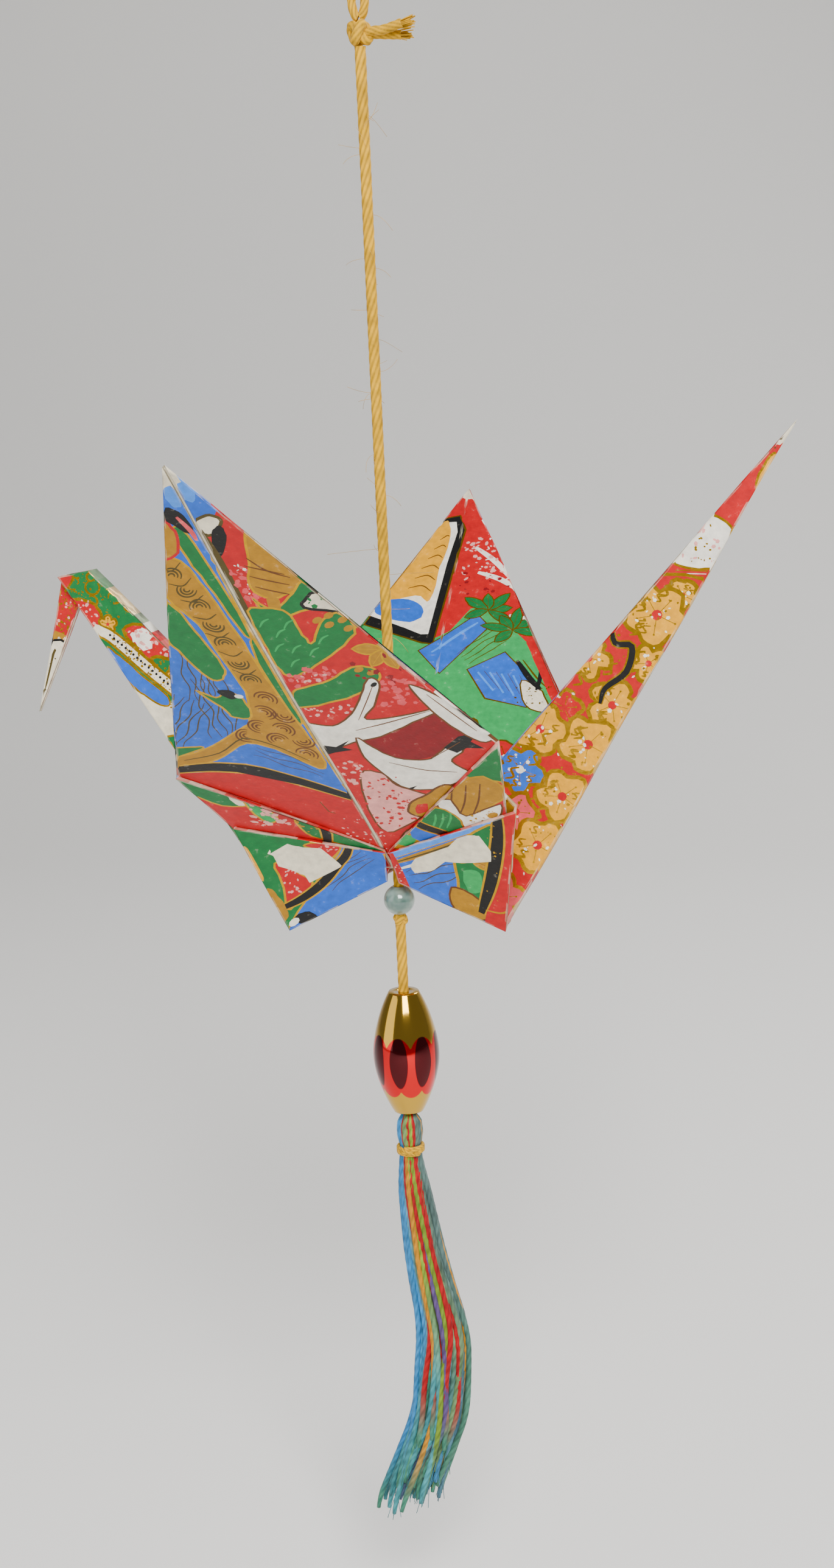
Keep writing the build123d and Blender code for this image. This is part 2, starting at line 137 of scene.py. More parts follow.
def place_point(name, facet, side, hand):
    """Mid-thickness place of one crease point on one facet, layers spaced by PITCH outwards."""
    tilt = math.radians(TILT[side])
    wing_n = np.array([0.0, side * math.cos(tilt), -math.sin(tilt)])
    body_n = unit((0.0, side, -0.55))
    low_n = unit((0.0, side, -0.22))
    inward = np.array([-hand * math.cos(NAR), 0.0, math.sin(NAR)])
    kind = facet[0]
    leg = leg_points(hand)
    if facet in LAYER:
        lay = LAYER[facet] * PITCH
        cut = EDGE_IN[kind] * PITCH
        if name == "T":
            return wing_point(side, 0.0, 0.5) + wing_n * lay + np.array([hand * 0.14 * (kind == "A"), 0.0,
                0.0])
        if name in ("H", "M"):
            low = wing_point(side, 0.0, 0.012 if kind != "A" else 0.016, 0.35)
            low[0] = hand * SLIT * (kind == "A")
            return low + wing_n * lay
        if name == "P":
            return wing_point(side, hand * P_P, P_Q) + wing_n * lay + inward * cut
        if name == "Q":
            return wing_point(side, hand * Q_P, Q_Q, 0.6) + body_n * lay + inward * cut
        if name == "N":
            return wing_point(side, hand * N_P, 0.006, 0.35) + body_n * lay + inward * cut
        if name == "S":
            return wing_point(side, hand * 0.30 / SHEET, S_Q, 0.7) + body_n * lay
        nest = {"E1": 3, "A3": 2, "A4": 1, "E2": 0}.get(facet, 0) * PITCH
        if name == "X":
            x = leg["X"][0] - hand * 0.3 * (facet == "E2")
            return np.array([x, side * (ROOT * PITCH + 0.9), leg["X"][2] + nest]) + low_n * lay
        if name == "R":
            return np.array([leg["R"][0], side * ROOT * PITCH,
                leg["R"][2] + nest]) + low_n * lay + inward * cut
        if name == "OH":
            return np.array([0.0, side * HOLE_HALF, RIM_Z["OH"]])
        if name == "OQ":
            f = (0.80 if kind == "D" else 0.64) * HOLE_HALF
            return np.array([hand * f, side * f, RIM_Z[kind]])
        return np.array([hand * HOLE_HALF, side * 0.6 * PITCH, RIM_Z["OX"]])
    if facet in NECK:
        j = NECK[facet]
        inner = 1.0 if kind == "A" or facet == "E4" else 0.0
        if name == "X":
            z = leg["X"][2] + j * PITCH
            return np.array([leg["X"][0] + hand * 0.25 * inner, side * (j + 0.55) * PITCH, z])
        if name == "R":
            base = np.array([leg["R"][0], side * (j + 0.55) * PITCH, leg["R"][2] + j * PITCH])
            return base + np.array([-hand * 0.5, 0.0, 0.86]) * PITCH * (kind == "A")
        y = side * (j + 0.55 + (4.3 if hand < 0 else 0.0)) * PITCH
        if name == "X2":
            return np.array([leg["X2"][0] - 0.9 * inner * PITCH, y, leg["X2"][2] - 0.6 * inner * PITCH])
        if name == "R2":
            cut = 1.2 * PITCH * (kind == "A")
            return np.array([leg["R2"][0] + cut, y, leg["R2"][2] + 0.2 * cut])
        cut = 2.0 * PITCH * (kind == "A")
        return np.array([leg["C"][0] - hand * cut * 0.6, side * (0.55 * j + 0.4) * PITCH,
            leg["C"][2] - cut])
    j = HEAD[facet]
    y = side * (j + 0.55) * PITCH
    if name == "X2":
        return np.array([leg["X2"][0] - 0.25, y, leg["X2"][2] - 1.6 * PITCH])
    if name == "R2":
        cut = 1.2 * PITCH * (kind == "A")
        return np.array([leg["R2"][0] + 0.25 + cut, y, leg["R2"][2] - 1.6 * PITCH])
    cut = 2.0 * PITCH * (kind == "A")
    return np.array([leg["B"][0] + 0.3 * cut, side * (0.55 * j + 0.4) * PITCH, leg["B"][2] + cut])


FACETS = {"A1": "T P N M", "A2": "P S N", "A3": "M N R X", "A4": "N S X R", "W1": "T P N H", "W2": "P S N",
    "D1": "H N Q OQ OH", "D2": "N S Q", "E1": "X R Q OQ OX", "E2": "Q S X R"}
TAIL_FACETS = {"A5": "X R C", "A6": "X R C", "E3": "X R C", "E4": "X R C"}
NECK_FACETS = {"A5": "X R R2 X2", "A6": "X R R2 X2", "E3": "X R R2 X2", "E4": "X R R2 X2", "A7": "X2 R2 C",
    "A8": "X2 R2 C", "E5": "X2 R2 C", "E6": "X2 R2 C"}
FOLDS = ("A1 W1 T P, A2 W2 P S, W1 D1 H N, W2 D2 N S, D1 E1 Q OQ, D2 E2 Q S, A4 E2 S X, A1 A2 P N, A3 A4 N R, "
         "W1 W2 P N, D1 D2 N Q, E1 E2 Q R, A1 A3 M N, A2 A4 N S, A3 A5 X R, A4 A6 X R, E1 E3 X R, E2 E4 X R")
TAIL_FOLDS = "A5 A6 R C, E3 E4 R C, A6 E4 X C"
NECK_FOLDS = ("A5 A6 R R2, E3 E4 R R2, A6 E4 X X2, A7 A8 R2 C, E5 E6 R2 C, A8 E6 X2 C, A5 A7 X2 R2, "
              "A6 A8 X2 R2, "
              "E3 E5 X2 R2, E4 E6 X2 R2")
CORNERS = ("P A1 A2 W2 W1, S A2 A4 E2 D2 W2, N A1 A2 A4 A3, N W1 W2 D2 D1, Q D1 D2 E2 E1, X A4 A6 E4 E2, "
           "R A3 A4 A6 A5, R E1 E2 E4 E3")
NECK_CORNERS = "X2 A6 A8 E6 E4, R2 A5 A6 A8 A7, R2 E3 E4 E6 E5"
BODY_FLAT = {"T": (0, 0.5), "P": (P_P, P_Q), "S": (0, S_Q), "Q": (Q_P, Q_Q), "N": (N_P, 0), "R": (R_P, R_Q),
    "X": (0, 0), "M": (0, 0.016), "H": (0, 0.012), "OH": (0, 0.1995), "OQ": (0.0047, 0.2025),
    "OX": (0, 0.1995)}
LEG_FLAT = {"C": (0.0, 0.0), "R": (LEG, 0.0), "X": (SPINE * math.cos(NAR), SPINE * math.sin(NAR)),
    "R2": (HEAD_CREASE, 0.0), "X2": (HEAD_SPINE * math.cos(NAR), HEAD_SPINE * math.sin(NAR))}


def flat_point(name, facet, hand):
    """Place of a crease point in the facet's own print frame, mm: x across with the sign of hand, y up
    the wing; on neck and tail x from the end along the crease, y towards the spine."""
    if facet in LAYER:
        return np.array([hand * BODY_FLAT[name][0] * SHEET, BODY_FLAT[name][1] * SHEET])
    return np.array(LEG_FLAT[name])


def parts_of(a, b):
    """Whole number of equal parts along the crease a b, about 1.6 mm each, the same on every facet."""
    table = LEG_FLAT if {a, b} & {"C", "R2", "X2"} else {k: np.array(v) * SHEET for k,
        v in BODY_FLAT.items()}
    return max(1, int(math.ceil(np.linalg.norm(np.subtract(table[a], table[b])) / 1.6)))


keys = {}
patches = []


def corner(name, facet, side, hand):
    """Index key of a crease point; both halves share the middle line of W1 and D1."""
    shared = (facet == "W1" and name in "TH") or (facet == "D1" and name in ("H", "OH"))
    k = (name, facet, side, 0 if shared else hand)
    if k not in keys:
        keys[k] = place_point(name, facet, side, hand)
    return k


def strip(f, g, a, b, side, hand, side_g=None):
    """Narrow band of paper round a fold, between the same crease a b on two facets."""
    sg = side if side_g is None else side_g
    ring = [corner(a, f, side, hand), corner(b, f, side, hand), corner(b, g, sg, hand),
        corner(a, g, sg, hand)]
    patches.append(("strip", ring, (f, side, hand, a, b)))


for side in (-1, 1):
    for hand in (-1, 1):
        legs = TAIL_FACETS if hand > 0 else NECK_FACETS
        for f, names in {**FACETS, **legs}.items():
            ring = [corner(n, f, side, hand) for n in names.split()]
            patches.append(("facet", ring, (f, side, hand)))
        for item in (FOLDS + ", " + (TAIL_FOLDS if hand > 0 else NECK_FOLDS)).split(", "):
            f, g, a, b = item.split()
            strip(f, g, a, b, side, hand)
        for item in (CORNERS + (", " + NECK_CORNERS if hand < 0 else "")).split(", "):
            name, *ring = item.split()
            patches.append(("corner", [corner(name, f, side, hand) for f in ring], (ring[0], side, hand)))
for hand in (-1, 1):
    strip("E1", "E1", "X", "OX", -1, hand, 1)
    strip("E3", "E3", "X", "C" if hand > 0 else "X2", -1, hand, 1)
    ring = [corner("X", "E1", -1, hand), corner("X", "E3", -1, hand), corner("X", "E3", 1, hand),
        corner("X", "E1", 1, hand)]
    patches.append(("corner", ring, ("E3", -1, hand)))
    if hand < 0:
        strip("E5", "E5", "X2", "C", -1, hand, 1)
        ring = [corner("X2", "E3", -1, hand), corner("X2", "E5", -1, hand), corner("X2", "E5", 1, hand),
            corner("X2", "E3", 1, hand)]
        patches.append(("corner", ring, ("E3", -1, hand)))


def fan(ring, facet):
    """Triangles of a patch as places in its ring; the gusset D1 is cut along its line H Q."""
    if facet == "D1" and len(ring) == 5:
        return [(0, 1, 2), (0, 2, 3), (0, 3, 4)]
    return [(0, i, i + 1) for i in range(1, len(ring) - 1)]


# every patch turned to agree with its neighbours, walking over shared sides
by_side = {}
for i, (_, ring, _) in enumerate(patches):
    for a, b in zip(ring, ring[1:] + ring[:1]):
        by_side.setdefault(frozenset((a, b)), []).append((i, (a, b)))
sign = {0: 1}
todo = [0]
while todo:
    i = todo.pop()
    ring = patches[i][1]
    for a, b in zip(ring, ring[1:] + ring[:1]):
        for j, pair in by_side[frozenset((a, b))]:
            if j not in sign:
                sign[j] = sign[i] if pair == (b, a) else -sign[i]
                todo.append(j)
first = patches[0][1]
normal = np.cross(keys[first[1]] - keys[first[0]], keys[first[2]] - keys[first[0]])
flip = 1 if normal[1] * patches[0][2][1] > 0 else -1
near = {k: [] for k in keys}
for i, (kind, ring, info) in enumerate(patches):
    for tri in fan(ring, info[0]):
        a, b, c = (keys[ring[t]] for t in tri)
        n = np.cross(b - a, c - a) * sign[i] * flip
        if np.linalg.norm(n) > 1e-9:
            for t in tri:
                near[ring[t]].append((unit(n), min(1.0, np.linalg.norm(n) / 0.2)))
printed = {}
plain = {}
for k, rows in near.items():
    n = np.array([r[0] for r in rows])
    w = np.array([r[1] for r in rows])
    d = np.linalg.solve((n * w[:, None]).T @ n + 1e-3 * np.eye(3), (n * w[:, None]).sum(0) * PAPER / 2)
    d *= min(1.0, 0.85 * PAPER / (np.linalg.norm(d) or 1.0))
    printed[k] = keys[k] + d
    plain[k] = keys[k] - d


# ---- the print: flat colour shapes with gold outlines, drawn in each facet's own millimetres ----
# Each function adds (outline, ink) pairs to out, the later ones on top. The near side follows the photo;
# sides that it doesn't show are filled by other_print in the same style.
rng = np.random.default_rng(7)  # every uneven edge, speck, fibre and strand draws from this one seed


def srgb(code):
    """Linear RGB of an sRGB hex colour: ((c + 0.055) / 1.055) ** 2.4 above 0.04045."""
    c = np.array([int(code[i : i + 2], 16) / 255.0 for i in (1, 3, 5)])
    return np.where(c <= 0.04045, c / 12.92, ((c + 0.055) / 1.055) ** 2.4)


INK = {"red": "#b8000a", "deep": "#7d000c", "green": "#006a30", "leaf": "#1c9a4c", "blue": "#1c5cc4",
    "sky": "#4288e4", "ochre": "#a87600", "yellow": "#e09c00", "cream": "#e2d8be", "white": "#ece6d8",
    "black": "#0b0a09", "pink": "#d4474e", "rose": "#e39a92", "olive": "#4a3c0a", "brown": "#5e3406",
    "gold": "#c8981c", "worn": "#d8ceb6"}
HEX = {k: srgb(v) for k, v in INK.items()}


def smooth(points, steps=4, closed=True):
    """Catmull-Rom curve: 0.5 (2b + (c-a) t + (2a-5b+4c-d) t^2 + (3b-a-3c+d) t^3) over each side b c."""
    p = np.asarray(points, float)
    n = len(p)
    if closed:
        a, b, c, d = (np.roll(p, k, 0) for k in (1, 0, -1, -2))
    else:
        q = np.concatenate([2 * p[:1] - p[1:2], p, 2 * p[-1:] - p[-2:-1]])
        a, b, c, d = (q[k : k + n - 1] for k in range(4))
    t = (np.arange(steps) / steps)[None, :, None]
    a, b, c, d = (v[:, None, :] for v in (a, b, c, d))
    out = 0.5 * (2 * b + (c - a) * t + (2 * a - 5 * b + 4 * c - d) * t**2 + (3 * b - a - 3 * c + d) * t**3)
    out = out.reshape(-1, 2)
    return out if closed else np.concatenate([out, p[-1:]])


def grow(ring, w):
    """Closed ring moved outwards by w along the mean of its two edge normals."""
    e = np.roll(ring, -1, 0) - ring
    n = np.stack([e[:, 1], -e[:, 0]], 1)
    n /= np.linalg.norm(n, axis=1)[:, None] + 1e-9
    m = n + np.roll(n, 1, 0)
    m /= np.linalg.norm(m, axis=1)[:, None] + 1e-9
    x, y = ring.T
    area = np.sum(x * np.roll(y, -1) - np.roll(x, -1) * y)
    return ring + m * w * (1 if area > 0 else -1)


def field(out, colour, points, edge="gold", w=0.14, soft=True, rough=0.05):
    """A colour field with an outline; rough is the unevenness of the printed edge in mm."""
    ring = smooth(points) if soft else np.asarray(points, float)
    ring = ring + rng.normal(0, rough, ring.shape)
    if edge:
        out.append((grow(ring, w), edge))
        ring = grow(ring, -w)
    out.append((ring, colour))


def line(out, colour, points, w=0.2, soft=True):
    """A drawn line of width w, thinner at both ends."""
    p = smooth(points, 4, closed=False) if soft and len(points) > 2 else np.asarray(points, float)
    t = unit_rows(np.gradient(p, axis=0))
    n = np.stack([-t[:, 1], t[:, 0]], 1)
    k = np.linspace(0, 1, len(p))[:, None]
    half = w / 2 * (0.35 + 0.65 * np.sin(np.pi * np.clip(k, 0.02, 0.98)) ** 0.5)
    out.append((np.concatenate([p + n * half, (p - n * half)[::-1]]), colour))


def band(out, points, wide, narrow):
    """A black line with gold along both sides: gold of width wide under black of width narrow."""
    line(out, "gold", points, wide)
    line(out, "black", points, narrow)


def unit_rows(v):
    """Each row over its length."""
    return v / (np.linalg.norm(v, axis=1)[:, None] + 1e-12)


def blossom(out, x, y, r, colour, heart="yellow", petals=5, spin=0.0, edge="gold", w=0.16, rough=0.03):
    """Plum blossom: radius r (0.66 + 0.34 |cos(petals (a - spin) / 2)| ** 0.7), a round heart and stamens."""
    a = np.linspace(0, 2 * math.pi, petals * 6, endpoint=False)
    rad = r * (0.66 + 0.34 * np.abs(np.cos(petals / 2 * (a - spin))) ** 0.7)
    field(out, colour, np.stack([x + rad * np.cos(a), y + rad * np.sin(a)], 1), edge, w, soft=False,
        rough=rough)
    for k in range(petals):
        b = spin + 2 * math.pi * k / petals
        tip = (x + 0.62 * r * math.cos(b), y + 0.62 * r * math.sin(b))
        line(out, "gold", [(x, y), tip], 0.16, soft=False)
        spot(out, "gold", *tip, 0.13)
    spot(out, heart, x, y, 0.17 * r)


def spot(out, colour, x, y, r, squash=1.0, spin=0.0, n=9):
    """Small oval spot."""
    a = np.linspace(0, 2 * math.pi, n, endpoint=False)
    u, v = r * np.cos(a), r * squash * np.sin(a)
    out.append((np.stack([x + u * math.cos(spin) - v * math.sin(spin),
        y + u * math.sin(spin) + v * math.cos(spin)], 1), colour))


def leaf(out, colour, x, y, length, width, spin, vein="gold", edge="gold"):
    """Pointed leaf: half width w sin(pi t) ** 0.8 along its length, with a middle vein."""
    t = np.linspace(0, 1, 10)
    w = width / 2 * np.sin(np.pi * t) ** 0.8
    u = np.concatenate([t * length, (t * length)[::-1][1:-1]])
    v = np.concatenate([w, -w[::-1][1:-1]])
    c, s = math.cos(spin), math.sin(spin)
    field(out, colour, np.stack([x + u * c - v * s, y + u * s + v * c], 1), edge, 0.1, soft=False,
        rough=0.02)
    if vein:
        line(out, vein, [(x + 0.1 * length * c, y + 0.1 * length * s),
            (x + 0.85 * length * c, y + 0.85 * length * s)], 0.12, soft=False)


def ripples(out, colour, start, end, rows, step, swing=0.5, w=0.17):
    """Water drawn as rows of wavy lines from start to end, each moved sideways by step."""
    a, b = np.array(start, float), np.array(end, float)
    along = unit(b - a)
    across = np.array([-along[1], along[0]])
    n = max(4, int(np.linalg.norm(b - a) / 1.1))
    t = np.linspace(0, 1, n)
    for k in range(rows):
        off = across * step * k
        wave = swing * np.sin(t * n * 1.35 + k * 1.7 + rng.uniform(-0.4, 0.4))
        line(out, colour, a + off + t[:, None] * (b - a) + wave[:, None] * across, w)


def scales(out, colour, points, r, w=0.17):
    """Wave scales: three nested arcs of radius r, 0.64 r and 0.3 r at each point (x, y, turn)."""
    for x, y, spin in points:
        for f in (1.0, 0.64, 0.3):
            a = np.radians(np.linspace(-105, 105, 9)) + math.radians(spin)
            line(out, colour, np.stack([x + f * r * np.cos(a), y + f * r * np.sin(a)], 1), w)


def specks(out, colour, box, count, r):
    """Small worn or sprinkled spots in a box (x0, y0, x1, y1)."""
    for _ in range(count):
        x, y = rng.uniform(box[0], box[2]), rng.uniform(box[1], box[3])
        spot(out, colour, x, y, r * rng.uniform(0.4, 1.3), rng.uniform(0.4, 1.0), rng.uniform(0, 3), 5)


def crane_bird(out, body, eye=None, tips=()):
    """White flying bird with a brown outline, black wing tips and eye."""
    field(out, "white", body, "brown", 0.13, rough=0.03)
    for pts in tips:
        field(out, "black", pts, None, soft=False, rough=0.1)
    if eye:
        spot(out, "black", *eye, 0.5, 0.6, 0.7)


def near_left(out):
    """Near wing, half towards the head: green and ochre pine bough over blue water, black band, red foot."""
    ripples(out, "olive", (-9, 31.5), (-6.5, 43), 5, 0.9, 0.35, 0.2)
    ripples(out, "olive", (-17, 31.6), (-10, 38.5), 6, 0.95, 0.3, 0.2)
    ripples(out, "olive", (-9.6, 49), (-12, 40), 4, 1.0, 0.3, 0.18)
    ripples(out, "olive", (-9, 27.4), (-2, 22.8), 3, 1.0, 0.25, 0.16)
    field(out, "green", [(-9.2, 58), (-7.0, 55.6), (-6.2, 50), (-5.6, 44.8), (-6.6, 42.4), (-8.2, 43.2),
        (-9.6, 48.8), (-10.4, 53)])
    field(out, "green", [(-5.0, 64), (-5.7, 58), (-7.6, 58.6), (-8, 61)])
    field(out, "green", [(-2.5, 66.6), (-1.2, 65.4), (-0.5, 58), (-0.4, 50), (-1.2, 50.5), (-1.8, 56.5),
        (-2.7, 62)])
    field(out, "ochre", [(-6.6, 62.4), (-4.2, 62.6), (-3.1, 60.5), (-2.4, 56), (-1.8, 50), (-1.5, 44),
        (-1.1, 38), (-0.6, 31), (-0.6, 26), (-1.8, 24.6), (-4.9, 28.0), (-8.8, 29.9), (-14, 27.8),
        (-19, 28.2), (-19.4, 30.0), (-14.5, 30.4), (-9.7, 32.3), (-7.2, 33.6), (-5.9, 36.2), (-4.9, 40),
        (-5.2, 46), (-5.6, 52), (-7.2, 57)])
    scales(out, "olive", [(-5.4, 60.2, 60), (-4.6, 57.6, 230), (-4.3, 54.6, 80), (-3.9, 51.6, 250),
        (-3.8, 48.4, 90), (-3.6, 45.2, 270), (-3.4, 42, 80)], 1.15, 0.26)
    for q in (61.4, 58.8, 56, 53, 50, 46.8, 43.6):
        line(out, "olive", [(-6.4 + (61 - q) * 0.09, q + 0.4), (-5.0 + (61 - q) * 0.09, q - 0.5),
            (-3.6 + (61 - q) * 0.09, q + 0.3)], 0.2)
    scales(out, "brown", [(-3.0, 38.6, 60), (-4.2, 36, 20), (-2.0, 35.4, 250), (-5.9, 33.2, 150),
        (-3.2, 32.6, 40), (-1.6, 30.4, 280), (-4.6, 30.6, 110), (-8.2, 31.4, 170), (-2.2, 27.6, 60)], 1.3,
        0.26)
    line(out, "olive", [(-18, 29.2), (-13, 29.1), (-9, 30.9), (-5.6, 29.4), (-2.4, 26.2)], 0.24)
    field(out, "green", [(-0.3, 49), (-0.2, 40), (-0.2, 34.8), (-0.8, 34.2), (-1.3, 40.5), (-1.2, 46.5)])
    field(out, "ochre", [(-4.9, 70.4), (-2.9, 68.0), (-2.5, 65.6), (-3.3, 63.2), (-5.4, 62.9), (-6.2, 66)],
        "red", 0.18)
    field(out, "green", [(-10.6, 41.6), (-8.8, 39.6), (-6.9, 40.0), (-5.7, 38.6), (-6.1, 35.2),
        (-8.2, 35.2), (-8.9, 37.6)])
    field(out, "black", [(-8.2, 40.6), (-6.6, 40.2), (-6.2, 39.0), (-7.3, 38.7)], None)
    spot(out, "white", -6.0, 39.1, 0.55, 0.7)
    field(out, "green", [(-20, 32.4), (-16, 31.6), (-14.6, 30.8), (-20, 30.2)])
    field(out, "red", [(-22, 27.4), (-13, 25.0), (-5, 20.8), (1, 17), (1, -2), (-16, -2), (-22, 20)], None,
        soft=False)
    band(out, [(-23, 28.2), (-17, 27.1), (-13, 25.7), (-5, 21.5), (2.0, 17.0)], 2.3, 1.75)
    line(out, "olive", [(-4.4, 17.2), (-4.0, 15.0)], 0.3, soft=False)
    line(out, "olive", [(-4.0, 15.0), (-3.3, 14.6)], 0.3, soft=False)
    specks(out, "rose", (-3.5, 4, 0, 14), 26, 0.22)
    line(out, "gold", [(0.15, 66), (-0.1, 50), (-0.1, 34), (0.1, 18)], 0.5)
    field(out, "black", [(-3.2, 69.3), (-1.6, 69.6), (-0.4, 67.6), (-0.4, 65.6), (-1.8, 66.2)], None)
    line(out, "pink", [(-1.4, 68), (-0.7, 66), (-0.6, 64.5)], 0.6)
    field(out, "sky", [(-1.3, 72), (-0.2, 72.2), (-0.1, 69.6), (-1.2, 69.6)], None)
    field(out, "worn", [(-1.6, 75.5), (0.5, 75.5), (0.5, 72.9), (-0.8, 72.3), (-1.6, 72.9)], None)


def near_right(out):
    """Near wing, half towards the tail: red ground, pine, ochre fans and two white flying birds."""
    field(out, "blue", [(-0.5, 75), (3.8, 72), (3.6, 69.8), (1.6, 67.0), (-0.4, 66.4)], None)
    field(out, "sky", [(0.3, 73.2), (1.6, 72.2), (1.0, 70), (0.1, 70.6)], None)
    field(out, "ochre", [(2.2, 70.6), (3.6, 70.6), (5.0, 66.6), (4.0, 66.4)], None)
    field(out, "cream", [(0.0, 67.4), (1.8, 67.8), (2.6, 66.6), (1.2, 65.2), (0.1, 65.4)], "olive", 0.2)
    field(out, "black", [(1.0, 65.4), (2.2, 66.2), (2.4, 64.8), (1.0, 62.2), (0.2, 62.6)], None)
    line(out, "olive", [(0.0, 66), (0.3, 61), (0.2, 54), (0.5, 50)], 0.9)
    specks(out, "pink", (0.6, 54, 3.4, 60.2), 42, 0.4)
    specks(out, "white", (1.0, 56, 3.0, 61), 12, 0.2)
    field(out, "ochre", [(4.4, 64.6), (6.0, 62.8), (8.6, 58.0), (8.4, 55.8), (5.6, 55.2), (3.6, 55.0),
        (2.0, 57.0), (3.2, 60.4)])
    for q in (57, 58.6, 60.2):
        line(out, "brown", [(2.6, q), (4.2, q - 1.0), (6.2, q - 2.2)], 0.2)
    line(out, "brown", [(3.2, 61.2), (4.6, 59), (6.6, 57.4)], 0.22)
    field(out, "green", [(1.6, 55.4), (3.0, 53.4), (5.5, 54.6), (7.5, 56.6), (8.9, 56.4), (10.4, 52.8),
        (6.0, 52.4), (2.8, 51.8)])
    field(out, "ochre", [(3.2, 55.2), (4.4, 54.8), (4.0, 52.9), (2.9, 53.1)], None)
    field(out, "cream", [(6.8, 53.8), (9.3, 54.6), (11.4, 50.6), (9.2, 51.6), (6.8, 52.6)], "black", 0.2)
    specks(out, "green", (7.0, 51.8, 10.5, 54.2), 10, 0.3)
    field(out, "green", [(0.4, 53.6), (2.6, 53.6), (4.6, 52.6), (4.9, 49.6), (5.4, 47.3), (7.4, 50.1),
        (9.2, 51.2), (10.4, 50.2), (10.6, 48.2), (8.8, 46.2), (4.6, 43.7), (1.2, 42.4), (0.2, 44.5),
        (0.2, 48.5)])
    for x, y in ((1.4, 51.5), (2.6, 49.6), (1.6, 47.4), (3.4, 46.8), (2.4, 44.6), (5.2, 46.0), (6.8, 47.6),
            (4.0, 50.8)):
        line(out, "leaf", [(x - 0.7, y - 0.6), (x, y + 0.2), (x + 0.8, y + 0.5)], 0.26)
    for x, y in ((7.2, 50.6), (8.6, 51.0), (9.8, 50.0), (10.0, 48.6), (8.2, 49.6)):
        spot(out, "ochre", x, y, 0.62, 0.7, 0.5)
    specks(out, "pink", (0.8, 40.6, 6.4, 43.4), 34, 0.42)
    specks(out, "rose", (1.0, 41.2, 5.6, 42.8), 12, 0.3)
    field(out, "green", [(0.2, 39.6), (1.9, 40.4), (5.2, 41.0), (8.4, 42.6), (10.4, 42.0), (10.9, 40.3),
        (8.8, 38.6), (5.2, 37.4), (0.0, 37.0)])
    for x, y in ((9.0, 42.0), (10.2, 41.2), (9.6, 39.8)):
        spot(out, "ochre", x, y, 0.6, 0.7, 0.4)
    leaf(out, "ochre", 12.6, 44.6, 3.4, 1.7, 2.9)
    leaf(out, "ochre", 12.6, 44.6, 3.2, 1.6, 4.0)
    leaf(out, "ochre", 12.6, 44.6, 3.4, 1.7, 4.9)
    leaf(out, "ochre", 12.6, 44.6, 3.2, 1.5, 5.9)
    specks(out, "deep", (8, 38, 15, 44), 16, 0.5)
    specks(out, "pink", (9.5, 35.2, 15.5, 39.6), 36, 0.5)
    specks(out, "rose", (0.2, 34.8, 6, 36.6), 18, 0.34)
    field(out, "deep", [(16.8, 33.4), (13, 33.4), (5.8, 30.2), (5.6, 27.4), (9, 24.8), (14.1, 25.6),
        (17.6, 28.3)], None)
    crane_bird(out, [(-0.4, 33.6), (2.6, 33.0), (5.0, 34.2), (7.4, 37.0), (9.2, 40.0), (10.2, 40.2),
        (10.3, 38.6), (8.6, 35.6), (7.0, 33.4), (12.4, 33.4), (17.4, 34.2), (12.0, 31.8), (7.6, 30.0),
        (4.0, 29.4), (-0.4, 28.4)], eye=(9.8, 39.2), tips=[[(-0.2, 29.4), (1.6, 28.9), (3.6, 29.9),
        (2.3, 28.6), (3.4, 27.9), (1.2, 27.8), (-0.2, 27.4)]])
    line(out, "brown", [(5.0, 31.6), (9.4, 32.4), (15.0, 33.6)], 0.18)
    line(out, "brown", [(6.0, 33.4), (8.0, 36.4), (9.6, 39.0)], 0.14)
    crane_bird(out, [(4.6, 30.2), (5.8, 28.2), (8.0, 25.6), (11.4, 24.6), (13.0, 25.4), (15.2, 27.2),
        (17.2, 27.4), (15.8, 25.2), (14.2, 23.6), (15.6, 20.6), (12.0, 18.8), (8.8, 18.6), (6.6, 19.8),
        (5.4, 22.6), (4.2, 26.4)], tips=[[(4.9, 18.6), (6.4, 19.9), (7.0, 19.0), (8.6, 19.6), (7.9, 18.6),
        (8.3, 17.6), (6.2, 17.3)], [(14.0, 26.6), (16.2, 28.2), (18.6, 28.6), (17.4, 27.0), (18.4, 25.4),
        (16.6, 25.9), (15.4, 25.2)]])
    line(out, "brown", [(6.8, 24.8), (10.6, 22.6), (14.2, 21.4)], 0.18)
    line(out, "brown", [(12.6, 25.0), (14.6, 26.2), (16.2, 27.2)], 0.14)
    crane_bird(out, [(13.6, 38.4), (15.8, 36.4), (18.2, 32.8), (20.2, 27.6), (18.4, 26.8), (16.0, 30.4),
        (14.4, 34.4)])
    line(out, "brown", [(15.0, 36.4), (17.0, 32.2), (18.6, 28.8)], 0.16)
    field(out, "rose", [(2.6, 23.0), (5.2, 22.8), (6.2, 20.0), (8.6, 18.0), (10.0, 16.4), (6.4, 12.4),
        (1.6, 10.2), (0.9, 15.6)], "brown", 0.13)
    specks(out, "red", (0.6, 10, 7, 22), 60, 0.3)
    specks(out, "deep", (3, 13, 8, 19), 22, 0.16)
    specks(out, "rose", (0.2, 20, 3.4, 26), 26, 0.4)
    field(out, "ochre", [(6.8, 16.2), (9.0, 17.4), (12.0, 19.2), (13.0, 17.6), (9.6, 14.2), (7.2, 12.8),
        (5.8, 14.2)], "brown", 0.16)
    field(out, "red", [(7.0, 15.2), (8.6, 15.6), (8.2, 14.0), (6.8, 13.6)], None)
